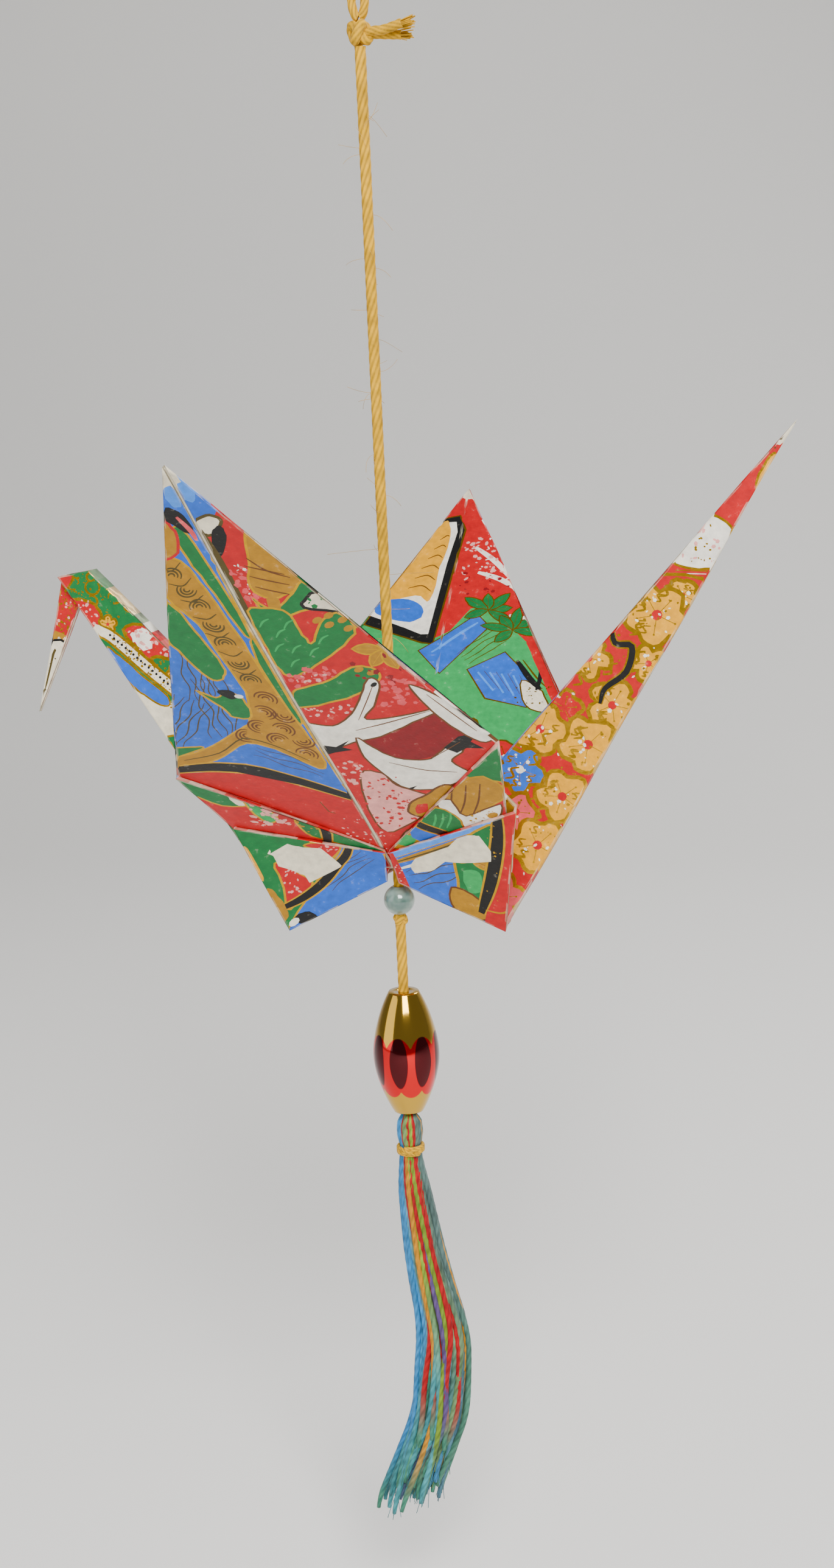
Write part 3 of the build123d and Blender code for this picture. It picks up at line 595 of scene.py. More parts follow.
    field(out, "white", [(3.6, 9.6), (6.2, 10.6), (5.4, 7.4), (3.6, 5.4), (1.6, 5.6)], "brown", 0.12)
    spot(out, "black", 3.7, 8.0, 0.62, 0.6, 0.9)
    field(out, "red", [(0, 11), (2.2, 9.4), (3.0, 7.2), (1.0, 4.6), (0, 2)], None)
    specks(out, "rose", (0.2, 3, 2.6, 11), 14, 0.22)
    field(out, "worn", [(-0.5, 75.5), (2.4, 75.5), (1.2, 73.0), (-0.5, 72.8)], None)


def near_flap(out):
    """Narrowing flaps of the near wing: shaded red and pine towards the head, ochre and white to the tail."""
    field(out, "green", [(-22, 28), (-15.4, 23.6), (-12.4, 22.4), (-13.6, 19.0), (-18, 20)])
    field(out, "cream", [(-15.4, 21.2), (-13.6, 21.6), (-13.2, 19.6), (-14.8, 19.0)], None)
    field(out, "ochre", [(-11.6, 22.0), (-9.6, 21.9), (-8.3, 18.4), (-9.4, 16.6), (-10.9, 18.2)])
    field(out, "leaf", [(-13.8, 20.3), (-12.4, 19.4), (-11.0, 15.7), (-12.4, 14.3), (-13.6, 16.6)])
    specks(out, "rose", (-14.6, 13.6, -10, 20.5), 34, 0.5)
    field(out, "green", [(-8.6, 16.4), (-4.4, 13.4), (-0.6, 9.2), (-0.6, 6.2), (-5.4, 8.6), (-8.6, 11.4)])
    specks(out, "ochre", (-9.0, 11, -6.6, 15), 12, 0.35)
    band(out, [(-6.4, 16.4), (-5.9, 12.4), (-7.0, 7.0)], 1.7, 1.2)
    field(out, "green", [(22, 28), (15.6, 24.4), (14.6, 20.8), (17.2, 19.6), (21, 19)])
    field(out, "ochre", [(16.6, 20.4), (13.0, 19.4), (9.8, 16.0), (8.8, 13.2), (11.5, 11.8), (15.6, 14.0),
        (18.6, 16.6)])
    for x in (11.6, 13.4, 15.2):
        line(out, "brown", [(x - 2.2, 12.4), (x - 0.6, 15.4), (x + 0.6, 19)], 0.26)
    field(out, "white", [(9.2, 15.4), (11.2, 16.2), (12.2, 12.6), (17.2, 14.4), (15.4, 10.4), (10.6, 10.2)],
        "brown", 0.14)
    specks(out, "gold", (12.4, 9.6, 16.4, 13.2), 34, 0.2)
    spot(out, "ochre", 15.6, 12.2, 0.8, 0.7, 0.5)
    field(out, "green", [(6.2, 12.6), (8.8, 14.8), (10.8, 12.8), (11.2, 10.2), (9.4, 8.2), (6.0, 9.6)])
    for k in range(3):
        line(out, "leaf", [(7.0 + k, 10.2), (8.0 + k, 12.0), (8.4 + k, 13.4)], 0.3)
    field(out, "ochre", [(0.4, 10.2), (3.8, 10.8), (5.4, 9.8), (4.8, 7.2), (1.4, 6.0)])
    field(out, "leaf", [(1.4, 8.2), (3.2, 9.4), (4.4, 8.4), (2.8, 6.8)], None)
    field(out, "blue", [(4.6, 12.2), (6.0, 11.0), (9.2, 8.2), (6.2, 7.2), (4.0, 8.8)], None)
    band(out, [(4.4, 13.2), (6.4, 10.6), (9.2, 8.6)], 1.7, 1.2)


def near_body(out):
    """Body flaps, near side: green pine, black bow and blue water to the head; striped bands to the tail."""
    field(out, "green", [(-19, 14), (-12, 12.6), (-9.3, 11.3), (-5.6, 8.6), (-6.0, 6.0), (-8.4, 3.0),
        (-11.1, -0.9), (-15.5, -6), (-16.5, 2)])
    field(out, "red", [(-9.6, 9.0), (-7.4, 9.6), (-4.9, 9.4), (-5.6, 7.0), (-6.9, 5.2), (-7.0, 6.6),
        (-8.7, 6.2), (-7.9, 7.5)])
    specks(out, "rose", (-8.4, 6.8, -5.6, 9.2), 14, 0.24)
    field(out, "red", [(-13.6, 6.6), (-12.0, 5.8), (-10.9, 4.2), (-9.4, 2.2), (-11.2, 0.2), (-13.4, -1.6),
        (-13.2, 2.2)])
    specks(out, "rose", (-13.0, 1.0, -10.6, 5.6), 16, 0.28)
    ripples(out, "olive", (-7.2, 0.2), (-1.2, 4.9), 4, 0.85, 0.22, 0.15)
    band(out, [(-3.9, 9.2), (-5.0, 5.6), (-7.8, 2.2), (-11.0, 0.0), (-14.8, -1.4)], 1.75, 1.25)
    field(out, "black", [(-12.8, -3.2), (-11.2, -2.4), (-9.9, -3.6), (-12.2, -4.4)], None)
    spot(out, "white", -13.0, -3.9, 0.9, 0.6, 0.7)
    field(out, "ochre", [(-15.8, 2.4), (-14.4, 1.8), (-13.4, -2.0), (-14.6, -3.4)], None)
    field(out, "yellow", [(-17.6, 10.6), (-16.6, 10.0), (-15.4, 4.6), (-16.2, 4.0)], None)
    field(out, "sky", [(-0.4, 6.8), (15.8, 13.6), (15.2, 11.4), (0.2, 4.9)], "gold", 0.1, soft=False)
    line(out, "ochre", [(0.3, 4.2), (7, 6.9), (15.0, 10.9)], 1.2)
    line(out, "olive", [(0.3, 4.2), (7, 6.9), (15.0, 10.9)], 0.3)
    line(out, "white", [(0.6, 2.9), (4.8, 4.5), (9.2, 6.9)], 0.62)
    ripples(out, "olive", (1.4, 2.2), (8.6, 5.6), 4, -0.95, 0.2, 0.15)
    field(out, "green", [(9.0, 7.4), (14.8, 11.6), (13.6, 5.6), (11.4, -1.4), (8.6, -3.2), (8.4, 2)],
        "gold", 0.2)
    for spin in (0.4, 1.2, 2.0, 2.9, -0.5):
        leaf(out, "ochre", 10.7, 5.4, 3.1, 1.5, spin + 0.2, "brown")
    field(out, "leaf", [(9.4, 3.4), (11.6, 3.6), (11.4, 0.8), (9.6, 0.4)], None)
    field(out, "ochre", [(7.4, 0.6), (9.6, 0.2), (11.2, -1.0), (12.0, -3.2), (9.2, -4.4), (7.0, -2)],
        "brown", 0.14)
    field(out, "red", [(15.4, 14), (18.4, 14.4), (15.6, -7), (11.2, -6), (12.2, -0.6), (14.6, 6.4)], None)
    band(out, [(15.3, 14.2), (14.6, 8.6), (13.0, 2.6), (10.9, -2.8)], 2.2, 1.6)
    specks(out, "gold", (11.8, -1, 15.0, 12), 16, 0.14)
    line(out, "gold", [(11.6, -2.2), (14.0, -2.2), (16.4, -0.2)], 0.26)
    field(out, "red", [(0.0, 6.6), (0.7, 6.2), (1.5, -0.8), (0.0, -0.8)], None, soft=False)
    specks(out, "rose", (0.1, 0, 1.2, 5), 10, 0.16)


def far_inner(out):
    """Inner face of the far wing: framed ochre panel, bamboo, blue slats and a red sky with white streaks."""
    field(out, "leaf", [(-12, 47), (-2, 41.6), (1.0, 43.6), (3.6, 47.8), (6, 48.6), (12.6, 41.4), (16, 36),
        (22, 27), (22, -2), (-22, -2), (-22, 30), (-14, 46)], None, soft=False)
    for a, b, c in (((3.2, 67.6), (8.8, 59.0), 1.4), ((2.6, 61.0), (9.6, 53.4), 1.0),
            ((3.6, 55.4), (10.8, 51.6), 1.0), ((9.4, 46.6), (13.8, 44.4), 1.0)):
        line(out, "white", [a, ((a[0] + b[0]) / 2, (a[1] + b[1]) / 2 + 0.6), b], c)
    specks(out, "rose", (1.0, 54, 9.0, 63), 60, 0.42)
    specks(out, "white", (4.0, 54, 9.2, 66), 34, 0.3)
    specks(out, "deep", (0.4, 48, 8.6, 56), 20, 0.4)
    field(out, "black", [(-12, 45.2), (-3.4, 68.0), (-0.6, 68.6), (0.6, 65.2), (-0.2, 57.6), (-1.2, 41.0),
        (-3.0, 41.2)], "gold", 0.16, soft=False)
    field(out, "white", [(-12, 47.4), (-3.6, 67.0), (-1.0, 67.2), (-0.6, 64.8), (-1.4, 57.6), (-2.2, 43.0),
        (-3.2, 43.0)], None, soft=False)
    field(out, "yellow", [(-12, 50.6), (-3.8, 66.2), (-1.9, 66.4), (-1.6, 62.6), (-2.4, 57.0), (-2.9, 50.0),
        (-5.2, 51.0), (-9, 50)], None)
    for k in range(6):
        line(out, "brown", [(-6.6 + 0.7 * k, 52.6 + 2.1 * k), (-4.6 + 0.5 * k, 53.0 + 2.2 * k),
            (-3.0 + 0.25 * k, 51.8 + 2.4 * k)], 0.22)
    field(out, "blue", [(-10.4, 49.8), (-7.0, 50.4), (-4.0, 48.8), (-3.7, 46.4), (-6.0, 45.4),
        (-10.4, 47.4)], None)
    field(out, "blue", [(-3.2, 39.6), (4.6, 46.6), (6.8, 44.0), (0.5, 35.2)], "gold", 0.14, soft=False)
    line(out, "sky", [(-1.2, 39.4), (2.0, 42.4), (5.0, 44.9)], 0.5)
    ripples(out, "gold", (4.6, 36.6), (9.6, 41.2), 4, 1.0, 0.12, 0.16)
    for x, y, s in ((6.2, 47.4, 0), (10.2, 43.6, 0.5)):
        for k, a in enumerate((0.25, 0.95, 1.7, 2.5, 3.5, -0.55)):
            leaf(out, "green", x, y, (4.8 if k % 2 else 3.6), 1.7, a + s, "gold")
    field(out, "blue", [(4.4, 35.6), (9.6, 39.0), (14.4, 33.0), (13.6, 28.0), (7.6, 29.6)], "gold", 0.14,
        soft=False)
    for k in range(4):
        line(out, "sky", [(6.0 + 1.7 * k, 34.9 - 0.2 * k), (8.6 + 1.5 * k, 31.0 - 0.4 * k)], 0.55,
            soft=False)
        line(out, "gold", [(6.9 + 1.7 * k, 35.0 - 0.2 * k), (9.4 + 1.5 * k, 31.4 - 0.4 * k)], 0.16,
            soft=False)
    field(out, "cream", [(12.4, 33.4), (15.4, 31.4), (16.8, 27.4), (13.4, 28.4)], "gold", 0.12)
    line(out, "black", [(11.4, 37.4), (13.4, 34.0), (15.2, 31.8)], 1.0)
    line(out, "gold", [(12.2, 37.6), (14.4, 34.2), (15.9, 32.4)], 0.3)
    line(out, "black", [(14.9, 36.4), (14.9, 33.6), (14.6, 31.6)], 0.6)
    field(out, "red", [(12.4, 42.0), (14.8, 40.4), (19.4, 31), (18.0, 27.8), (14.6, 35.6)], None)
    specks(out, "gold", (11.6, 28, 16.8, 33), 26, 0.2)
    for x, y, r, c in ((-9, 36, 3.6, "yellow"), (-3.4, 31, 2.8, "red"), (-12.5, 27, 3.0, "sky"),
            (4, 24, 3.4, "yellow"), (-5, 20, 3.2, "pink"), (12, 18, 3.4, "red"), (-10, 12, 3, "yellow"),
            (5, 9, 3, "sky")):
        blossom(out, x, y, r, c, "white" if c == "red" else "red", spin=x)
    field(out, "worn", [(-1.0, 75.5), (1.4, 75.5), (1.2, 72.7), (-0.8, 72.9)], None)


def neck_print(out):
    """Neck from the head fold down: green, red, a gold-dusted band with a dotted line, blue and cream."""
    for x, y, r in ((19.6, 1.2, 0.8), (21.4, 3.0, 0.9), (22.8, 1.9, 0.7), (20.2, 3.6, 0.5),
            (24.0, 4.6, 0.8), (26.0, 5.6, 0.7)):
        a = np.linspace(0.3, 5.4, 10) + x
        line(out, "gold", np.stack([x + r * np.cos(a), y + r * np.sin(a)], 1), 0.3)
    specks(out, "gold", (18, 0.2, 27, 5.0), 90, 0.17)
    field(out, "red", [(17, -1), (17.6, 1.2), (19.2, 1.6), (19.6, -1)])
    field(out, "red", [(21.4, -1), (22.4, 1.4), (24.4, 2.0), (26.0, 0.9), (26.8, -1)], "gold", 0.2,
        rough=0.1)
    specks(out, "rose", (21.8, 0.1, 25.6, 1.5), 16, 0.24)
    field(out, "red", [(28.0, 3.2), (29.6, 6.4), (34, 8.6), (46, 12), (47, 8), (42, 6.4), (37, 5.0),
        (32, 3.6)], "gold", 0.2, rough=0.1)
    field(out, "white", [(28.8, 4.0), (30.2, 3.5), (31.9, 4.5), (31.0, 5.7), (29.4, 5.6)], None, rough=0.16)
    specks(out, "rose", (28.6, 3.4, 34, 6.8), 30, 0.28)
    blossom(out, 26.3, 1.9, 1.2, "yellow", "red")
    field(out, "green", [(33.0, 4.0), (34.2, 6.0), (37.8, 7.4), (40.4, 7.0), (38.6, 5.4), (36, 4.4)],
        "gold", 0.22, rough=0.1)
    blossom(out, 36.4, 5.7, 1.25, "yellow", "red", spin=0.5)
    field(out, "cream", [(34.6, -1), (36.6, 1.0), (39.3, 3.2), (43, 5.4), (46, 3), (44, -1)], None)
    line(out, "cream", [(25.6, 0.2), (28, 1.4), (34, 3.1), (39.6, 4.9), (48, 7.4)], 1.7)
    specks(out, "gold", (27.6, 1.1, 32, 3.3), 46, 0.17)
    specks(out, "gold", (32, 2.4, 40, 5.4), 90, 0.17)
    line(out, "gold", [(25.8, 1.0), (28, 2.2), (34, 4.0), (39.6, 5.8), (48, 8.2)], 0.34)
    line(out, "gold", [(26.6, -0.3), (28.2, 0.7), (34, 2.3), (39.6, 4.1), (48, 6.4)], 0.34)
    for k in range(26):
        spot(out, "black", 27.6 + 0.62 * k, 1.35 + 0.185 * k, 0.17)
    field(out, "blue", [(28.0, -0.2), (30.6, 0.9), (33.4, 1.7), (38.4, 3.2), (39.0, 2.2), (36.8, 0.9),
        (35.0, 0.2), (31.0, -0.8)], "gold", 0.12)
    field(out, "green", [(42.4, 5.6), (43.6, 3), (42.4, -1), (48, -1), (52, 6), (50, 12.6)])
    field(out, "red", [(50, 13), (60, 14), (62, 6), (54, -1), (50, -1), (51.6, 6)])
    for x, y, r, c in ((47.0, 5.6, 2.4, "yellow"), (55.4, 6.0, 3.0, "yellow"), (62.4, 9.4, 2.8, "pink"),
            (60.4, 3.2, 2.4, "blue")):
        blossom(out, x, y, r, c, "red", spin=x)
    specks(out, "gold", (42, 0, 62, 12), 60, 0.22)


def head_print(out):
    """Head: red sprinkled with gold, an ochre ring, then a cream beak with painted olive shade along its
    middle.
    """
    field(out, "rose", [(15.2, 2.4), (18.4, 3.9), (20.4, 4.6), (18.6, 2.2)], None)
    field(out, "green", [(16.6, 1.9), (19.4, 4.2), (20, 3.0), (18, -0.4)])
    specks(out, "gold", (9.4, 0, 17.2, 3.2), 80, 0.2)
    specks(out, "rose", (12, 0, 17, 3.0), 14, 0.2)
    field(out, "ochre", [(8.6, -1), (11.0, -1), (10.4, 3.4), (9.2, 3.2)], None)
    specks(out, "cream", (8.8, 0, 10.6, 2.2), 16, 0.2)
    field(out, "cream", [(-1, -1), (8.7, -1), (8.9, 3.2), (-1, 1.4)], "black", 0.16)
    # painted shade along the middle of the beak: an olive band and olive specks
    field(out, "olive", [(2.6, 0.1), (7.9, 0.35), (8.2, 0.75), (3.0, 0.32)], None)
    specks(out, "olive", (0.2, 0.05, 8.0, 1.6), 16, 0.12)


def tail_print(out):
    """Tail: worn tip, red and white rays, then yellow plum blossoms with gold dust on red."""
    field(out, "white", [(15.4, 4.2), (19.4, 4.8), (21.6, 4.4), (21.2, 2.0), (19.4, -0.6), (15.6, -0.6),
        (14.3, 1.6)], "gold", 0.16)
    specks(out, "rose", (15.6, 0, 20.6, 4), 14, 0.26)
    specks(out, "gold", (14.2, 0, 22, 4.6), 26, 0.16)
    for k in range(4):
        line(out, "gold", [(20.6 + 0.9 * k, 0.2 + 0.1 * k), (22.4 + 0.7 * k, 3.6 + 0.35 * k)], 0.24,
            soft=False)
        line(out, "white", [(21.0 + 0.9 * k, 0.2 + 0.1 * k), (22.8 + 0.7 * k, 3.6 + 0.35 * k)], 0.18,
            soft=False)
    field(out, "yellow", [(4.8, -0.5), (8.6, -0.5), (8.4, 0.5), (5.2, 0.5)], "gold", 0.14)
    field(out, "red", [(22, -1), (24.4, 5.6), (30, 6.4), (31, -1)], "gold", 0.2)
    for x, y, r, c in ((33.8, 0.8, 2.4, "yellow"), (24.6, 1.4, 2.0, "yellow"), (28.2, 2.9, 3.9, "yellow"),
            (40.4, 2.0, 3.2, "yellow"), (36.8, 7.4, 2.8, "yellow"), (43.6, 6.9, 2.3, "red"),
            (46.2, 2.2, 3.7, "yellow"), (47.4, 8.2, 3.4, "yellow"), (53.6, 1.9, 3.4, "yellow"),
            (53.2, 8.0, 3.2, "blue"), (58.2, 5.9, 2.6, "pink"), (60.6, 1.6, 3.6, "yellow"),
            (59.6, 10.8, 3.0, "yellow"), (65.8, 8.2, 4.0, "yellow"), (68.8, 2.4, 3.4, "pink")):
        blossom(out, x, y, r, c, "red" if c != "blue" else "white", spin=0.7 * x, w=0.26, rough=0.09)
        if c in ("yellow", "blue"):
            for k in range(4):
                b = rng.uniform(0, 6.3)
                q = np.array([x, y]) + 0.55 * r * np.array([math.cos(b), math.sin(b)])
                line(out, "gold", q + np.array([(-0.5, -0.3), (-0.1, 0.4), (0.3, -0.2),
                    (0.6, 0.4)]) * r * 0.3, 0.24)
            specks(out, "white", (x - 0.5 * r, y - 0.5 * r, x + 0.5 * r, y + 0.5 * r), 7, 0.24)
    for k in range(16):
        x = 24 + 2.9 * k
        y = 1.0 + (x * 0.16) * rng.uniform(0.1, 0.9)
        line(out, "gold", [(x, y), (x + 0.7, y + 0.8), (x + 1.4, y + 0.1), (x + 2.1, y + 0.9)], 0.34)
    band(out, [(31.4, 7.4), (33.6, 5.6), (33.0, 3.6), (36.0, 2.6), (39.0, 3.8), (41, 3.4)], 1.15, 0.75)
    specks(out, "gold", (22, 0, 71, 13), 160, 0.2)
    specks(out, "cream", (22, 0, 71, 12), 50, 0.2)
    field(out, "worn", [(-1, -1), (3.0, -1), (3.3, 1.6), (-1, 1.0)], None)
    specks(out, "olive", (1.0, 0, 4.4, 1.0), 8, 0.16)


def other_print(out, low, high):
    """The same print elsewhere on the sheet: bands of colour, water, blossoms and leaves in a box low high."""
    w, h = high - low
    inks = ["red", "green", "blue", "ochre", "red", "cream"]
    k = rng.integers(0, 6)
    y = low[1] - 2
    while y < high[1]:
        step = rng.uniform(7, 13)
        slant = rng.uniform(-5, 5)
        x = np.linspace(low[0] - 3, high[0] + 3, 7)
        lower = np.stack([x, y + slant * (x - x[0]) / (w + 6) + rng.normal(0, 0.8, 7)], 1)
        field(out, inks[k % 6], np.concatenate([lower, [[x[-1], high[1] + 9], [x[0], high[1] + 9]]]),
            "gold", 0.16, soft=False)
        if inks[k % 6] == "blue":
            ripples(out, "olive", lower[1] + (0, 1.5), lower[5] + (0, 1.5), 4, 1.2, 0.35, 0.16)
        if rng.random() < 0.4:
            band(out, lower, 1.9, 1.4)
        y += step
        k += 1 + rng.integers(0, 2)
    for _ in range(int(w * h / 48) + 1):
        x, y = rng.uniform(low[0], high[0]), rng.uniform(low[1], high[1])
        if rng.random() < 0.6:
            blossom(out, x, y, rng.uniform(2.0, 3.8), ["yellow", "red", "sky", "pink",
                "white"][rng.integers(0, 5)], "red", spin=x)
        else:
            for a in np.linspace(0, 2.6, 4):
                leaf(out, ["leaf", "ochre", "green"][rng.integers(0, 3)], x, y, 3.8, 1.4, a + x)
    specks(out, "gold", (*low, *high), int(w * h / 20), 0.24)


PRINTS = {("A1", -1, -1): ("blue", near_left), ("A1", -1, 1): ("red", near_right),
    ("W2", -1, -1): ("red", near_flap), ("W2", -1, 1): ("red", near_flap),
    ("E2", -1, -1): ("blue", near_body), ("E2", -1, 1): ("blue", near_body),
    ("W1", 1, -1): ("red", far_inner), ("W1", 1, 1): ("red", far_inner),
    ("E3", -1, -1): ("green", neck_print), ("E6", -1, -1): ("red", head_print),
    ("E3", -1, 1): ("red", tail_print), ("E3", 1, 1): ("red", tail_print)}


# ---- crane, continued: facets cut along every printed edge, both skins, one welded mesh ----
# Every facet is meshed flat, with the print's outlines as edges, and then laid on the folded sheet.
# Colour is per face, so the printed edges are sharp.
SEEN = ("A1", "W1", "W2", "D1", "E1", "E2", "E3", "E6")  # facets that can be seen from outside


def facet_corners(facet, hand):
    """Names of a facet's crease points and their places in its print frame."""
    names = (FACETS.get(facet) or (TAIL_FACETS if hand > 0 else NECK_FACETS)[facet]).split()
    return names, np.array([flat_point(n, facet, hand) for n in names])


def plain_rows(rgb, count):
    """One colour without gold for count faces."""
    return np.tile(np.append(rgb, 0.0), (count, 1))


def inside(points, ring):
    """Even-odd test of points in a closed ring."""
    a, b = ring, np.roll(ring, -1, 0)
    x, y = points[:, 0:1], points[:, 1:2]
    span = (a[:, 1] > y) != (b[:, 1] > y)
    cross = (b[:, 0] - a[:, 0]) * (y - a[:, 1]) / (b[:, 1] - a[:, 1] + 1e-12) + a[:, 0]
    return (span & (x < cross)).sum(1) % 2 == 1


def clip(ring, hull):
    """Ring cut to a convex hull given counter-clockwise (Sutherland-Hodgman)."""
    for a, b in zip(hull, np.roll(hull, -1, 0)):
        if len(ring) == 0:
            break
        d = (b[0] - a[0]) * (ring[:, 1] - a[1]) - (b[1] - a[1]) * (ring[:, 0] - a[0])
        out = []
        for i in range(len(ring)):
            j = (i + 1) % len(ring)
            if d[i] >= 0:
                out.append(ring[i])
            if (d[i] >= 0) != (d[j] >= 0):
                out.append(ring[i] + (ring[j] - ring[i]) * d[i] / (d[i] - d[j]))
        ring = np.array(out)
    return ring


def shrink(hull, w):
    """Convex hull moved inwards by w: every corner at the crossing of its two moved sides."""
    e = unit_rows(np.roll(hull, -1, 0) - hull)
    n = np.stack([-e[:, 1], e[:, 0]], 1)
    out = []
    for i in range(len(hull)):
        m = np.array([n[i - 1], n[i]])
        out.append(np.linalg.solve(m, [n[i - 1] @ hull[i] + w, n[i] @ hull[i] + w]))
    return np.array(out)


def press(corners, names, rings, grid):
    """Points and triangles of a facet in print mm: whole parts on its sides, an inner line 0.2 mm from the
    crease, the print outlines and a loose grid of points."""
    ccw = np.sum(corners[:, 0] * np.roll(corners[:, 1], -1) - np.roll(corners[:, 0], -1) * corners[:,
        1]) > 0
    order = list(range(len(corners))) if ccw else list(range(len(corners)))[::-1]
    hull = corners[order]
    cuts = [parts_of(names[order[i]], names[order[(i + 1) % len(order)]]) for i in range(len(order))]
    rim = np.concatenate([hull[i] + (hull[(i + 1) % len(hull)] - hull[i]) * (np.arange(c) / c)[:,
        None] for i, c in enumerate(cuts)])
    core = shrink(hull, 0.2)
    inner = np.concatenate([core[i] + (core[(i + 1) % len(core)] - core[i]) * (np.arange(c) / c)[:,
        None] for i, c in enumerate(cuts)])
    pts = [rim, inner]
    lines = []
    base = 0
    for ring in (rim, inner):
        lines += [(base + i, base + (i + 1) % len(ring)) for i in range(len(ring))]
        base += len(ring)
    low, high = hull.min(0), hull.max(0)
    for ring in rings:
        if (ring.max(0) < low).any() or (ring.min(0) > high).any():
            continue
        cut = clip(ring, core)
        if len(cut) > 2:
            pts.append(cut)
            lines += [(base + i, base + (i + 1) % len(cut)) for i in range(len(cut))]
            base += len(cut)
    gx, gy = np.meshgrid(np.arange(low[0], high[0], grid), np.arange(low[1], high[1], grid))
    loose = np.stack([gx.ravel(), gy.ravel()], 1) + rng.uniform(-0.3, 0.3, (gx.size, 2)) * grid
    loose = loose[inside(loose, shrink(hull, 0.5))]
    pts = np.concatenate(pts + [loose])
    vs, _, tris, source, _, _ = delaunay_2d_cdt([Vector(p) for p in pts], lines, [], 0, 1e-5, True)
    flat2 = np.array([v[:] for v in vs])
    for i, s in enumerate(source):
        if s:
            flat2[i] = pts[s[0]]
    tris = np.array([t[:3] for t in tris])
    mid = flat2[tris].mean(1)
    return flat2, tris, mid, ~inside(mid, core)


def raise_up(flat2, corners, ring, facet, table):
    """Places of flat points on the folded sheet by barycentric weights in the facet's corner triangles."""
    out = np.zeros((len(flat2), 3))
    best = np.full(len(flat2), -1e9)
    for tri in fan(ring, facet):
        a, b, c = corners[list(tri)]
        m = np.array([b - a, c - a]).T
        if abs(np.linalg.det(m)) < 1e-9:
            continue
        uv = (flat2 - a) @ np.linalg.inv(m).T
        w = np.stack([1 - uv.sum(1), uv[:, 0], uv[:, 1]], 1)
        score = w.min(1)
        take = score > best + 1e-9
        solid = np.array([table[ring[t]] for t in tri])
        out[take] = w[take] @ solid
        best = np.maximum(best, score)
    return out


def colours_at(points, base, marks):
    """Print colour (r, g, b, gold) at flat points: the last shape that holds the point."""
    rgba = plain_rows(HEX[base], len(points))
    for ring, name in marks:
        near_by = (points >= ring.min(0) - 1e-6).all(1) & (points <= ring.max(0) + 1e-6).all(1)
        if near_by.any():
            idx = np.where(near_by)[0]
            hit = idx[inside(points[idx], ring)]
            rgba[hit] = np.append(HEX[name], 1.0 if name == "gold" else 0.0)
    return rgba


def worn(rgba, amount):
    """Colours rubbed towards the bare paper on creases and corners by amount, 0 to 1."""
    k = np.clip(amount, 0, 1)[:, None]
    out = rgba.copy()
    out[:, :3] = rgba[:, :3] * (1 - k) + HEX["worn"] * k
    out[:, 3] *= 1 - k[:, 0]
    return out


def curl(p):
    """The paper's own bend. Wings bow out by 3.6 e (1 - e) + 0.0016 x^2 e - 0.22 tanh(x / 3) e mm, where
    e = h h (3 - 2h) and h goes from 0 to 1 up the wing. Slow waves of 0.14 and 0.10 mm fade at the cord."""
    x, y, z = p.T
    side = np.sign(y)
    h = np.clip((np.abs(y) - 6.5) / 45.0, 0, 1)
    ease = h * h * (3 - 2 * h)
    bow = 0.9 * 4 * ease * (1 - ease) + 0.0016 * x * x * ease - 0.22 * np.tanh(x / 3.0) * ease
    out = p.copy()
    out[:, 1] += side * bow * 0.72
    out[:, 2] -= bow * 0.5
    far = np.clip((np.hypot(x, y) - 4.0) / 12.0, 0, 1)
    out[:, 1] += far * (0.14 * np.sin(x * 0.21 + 1.0) * np.cos(z * 0.17))
    out[:, 0] += far * 0.10 * np.sin(z * 0.23 + y * 0.12)
    return out


marks_of = {}
facet_print = {}
for kind, ring, (facet, *rest) in patches:
    if kind == "facet":
        side, hand = rest
        shared = facet == "W1"  # one drawing runs over both halves
        tag = (facet, side, 0 if shared else hand)
        if tag not in marks_of:
            base, draw = PRINTS.get((facet, side, hand), ("red", None))
            marks = []
            corners = facet_corners(facet, hand)[1]
            if draw:
                draw(marks)
            elif facet in SEEN:
                low, high = corners.min(0), corners.max(0)
                if shared:
                    half = max(-low[0], high[0])
                    low, high = np.array([-half, low[1]]), np.array([half, high[1]])
                other_print(marks, low, high)
            marks_of[tag] = (base, marks)
        facet_print[(facet, side, hand)] = marks_of[tag]

skin_pts = []
skin_tri = []
skin_col = []
count = 0


def lay(points, tris, colours, toward):
    """Adds one piece of skin, turned so that its faces look along toward, one vector per point."""
    global count
    a, b, c = points[tris[:, 0]], points[tris[:, 1]], points[tris[:, 2]]
    n = np.cross(b - a, c - a)
    back = (n * toward[tris].mean(1)).sum(1) < 0
    tris = tris.copy()
    tris[back] = tris[back][:, ::-1]
    skin_pts.append(points)
    skin_tri.append(tris + count)
    skin_col.append(colours)
    count += len(points)


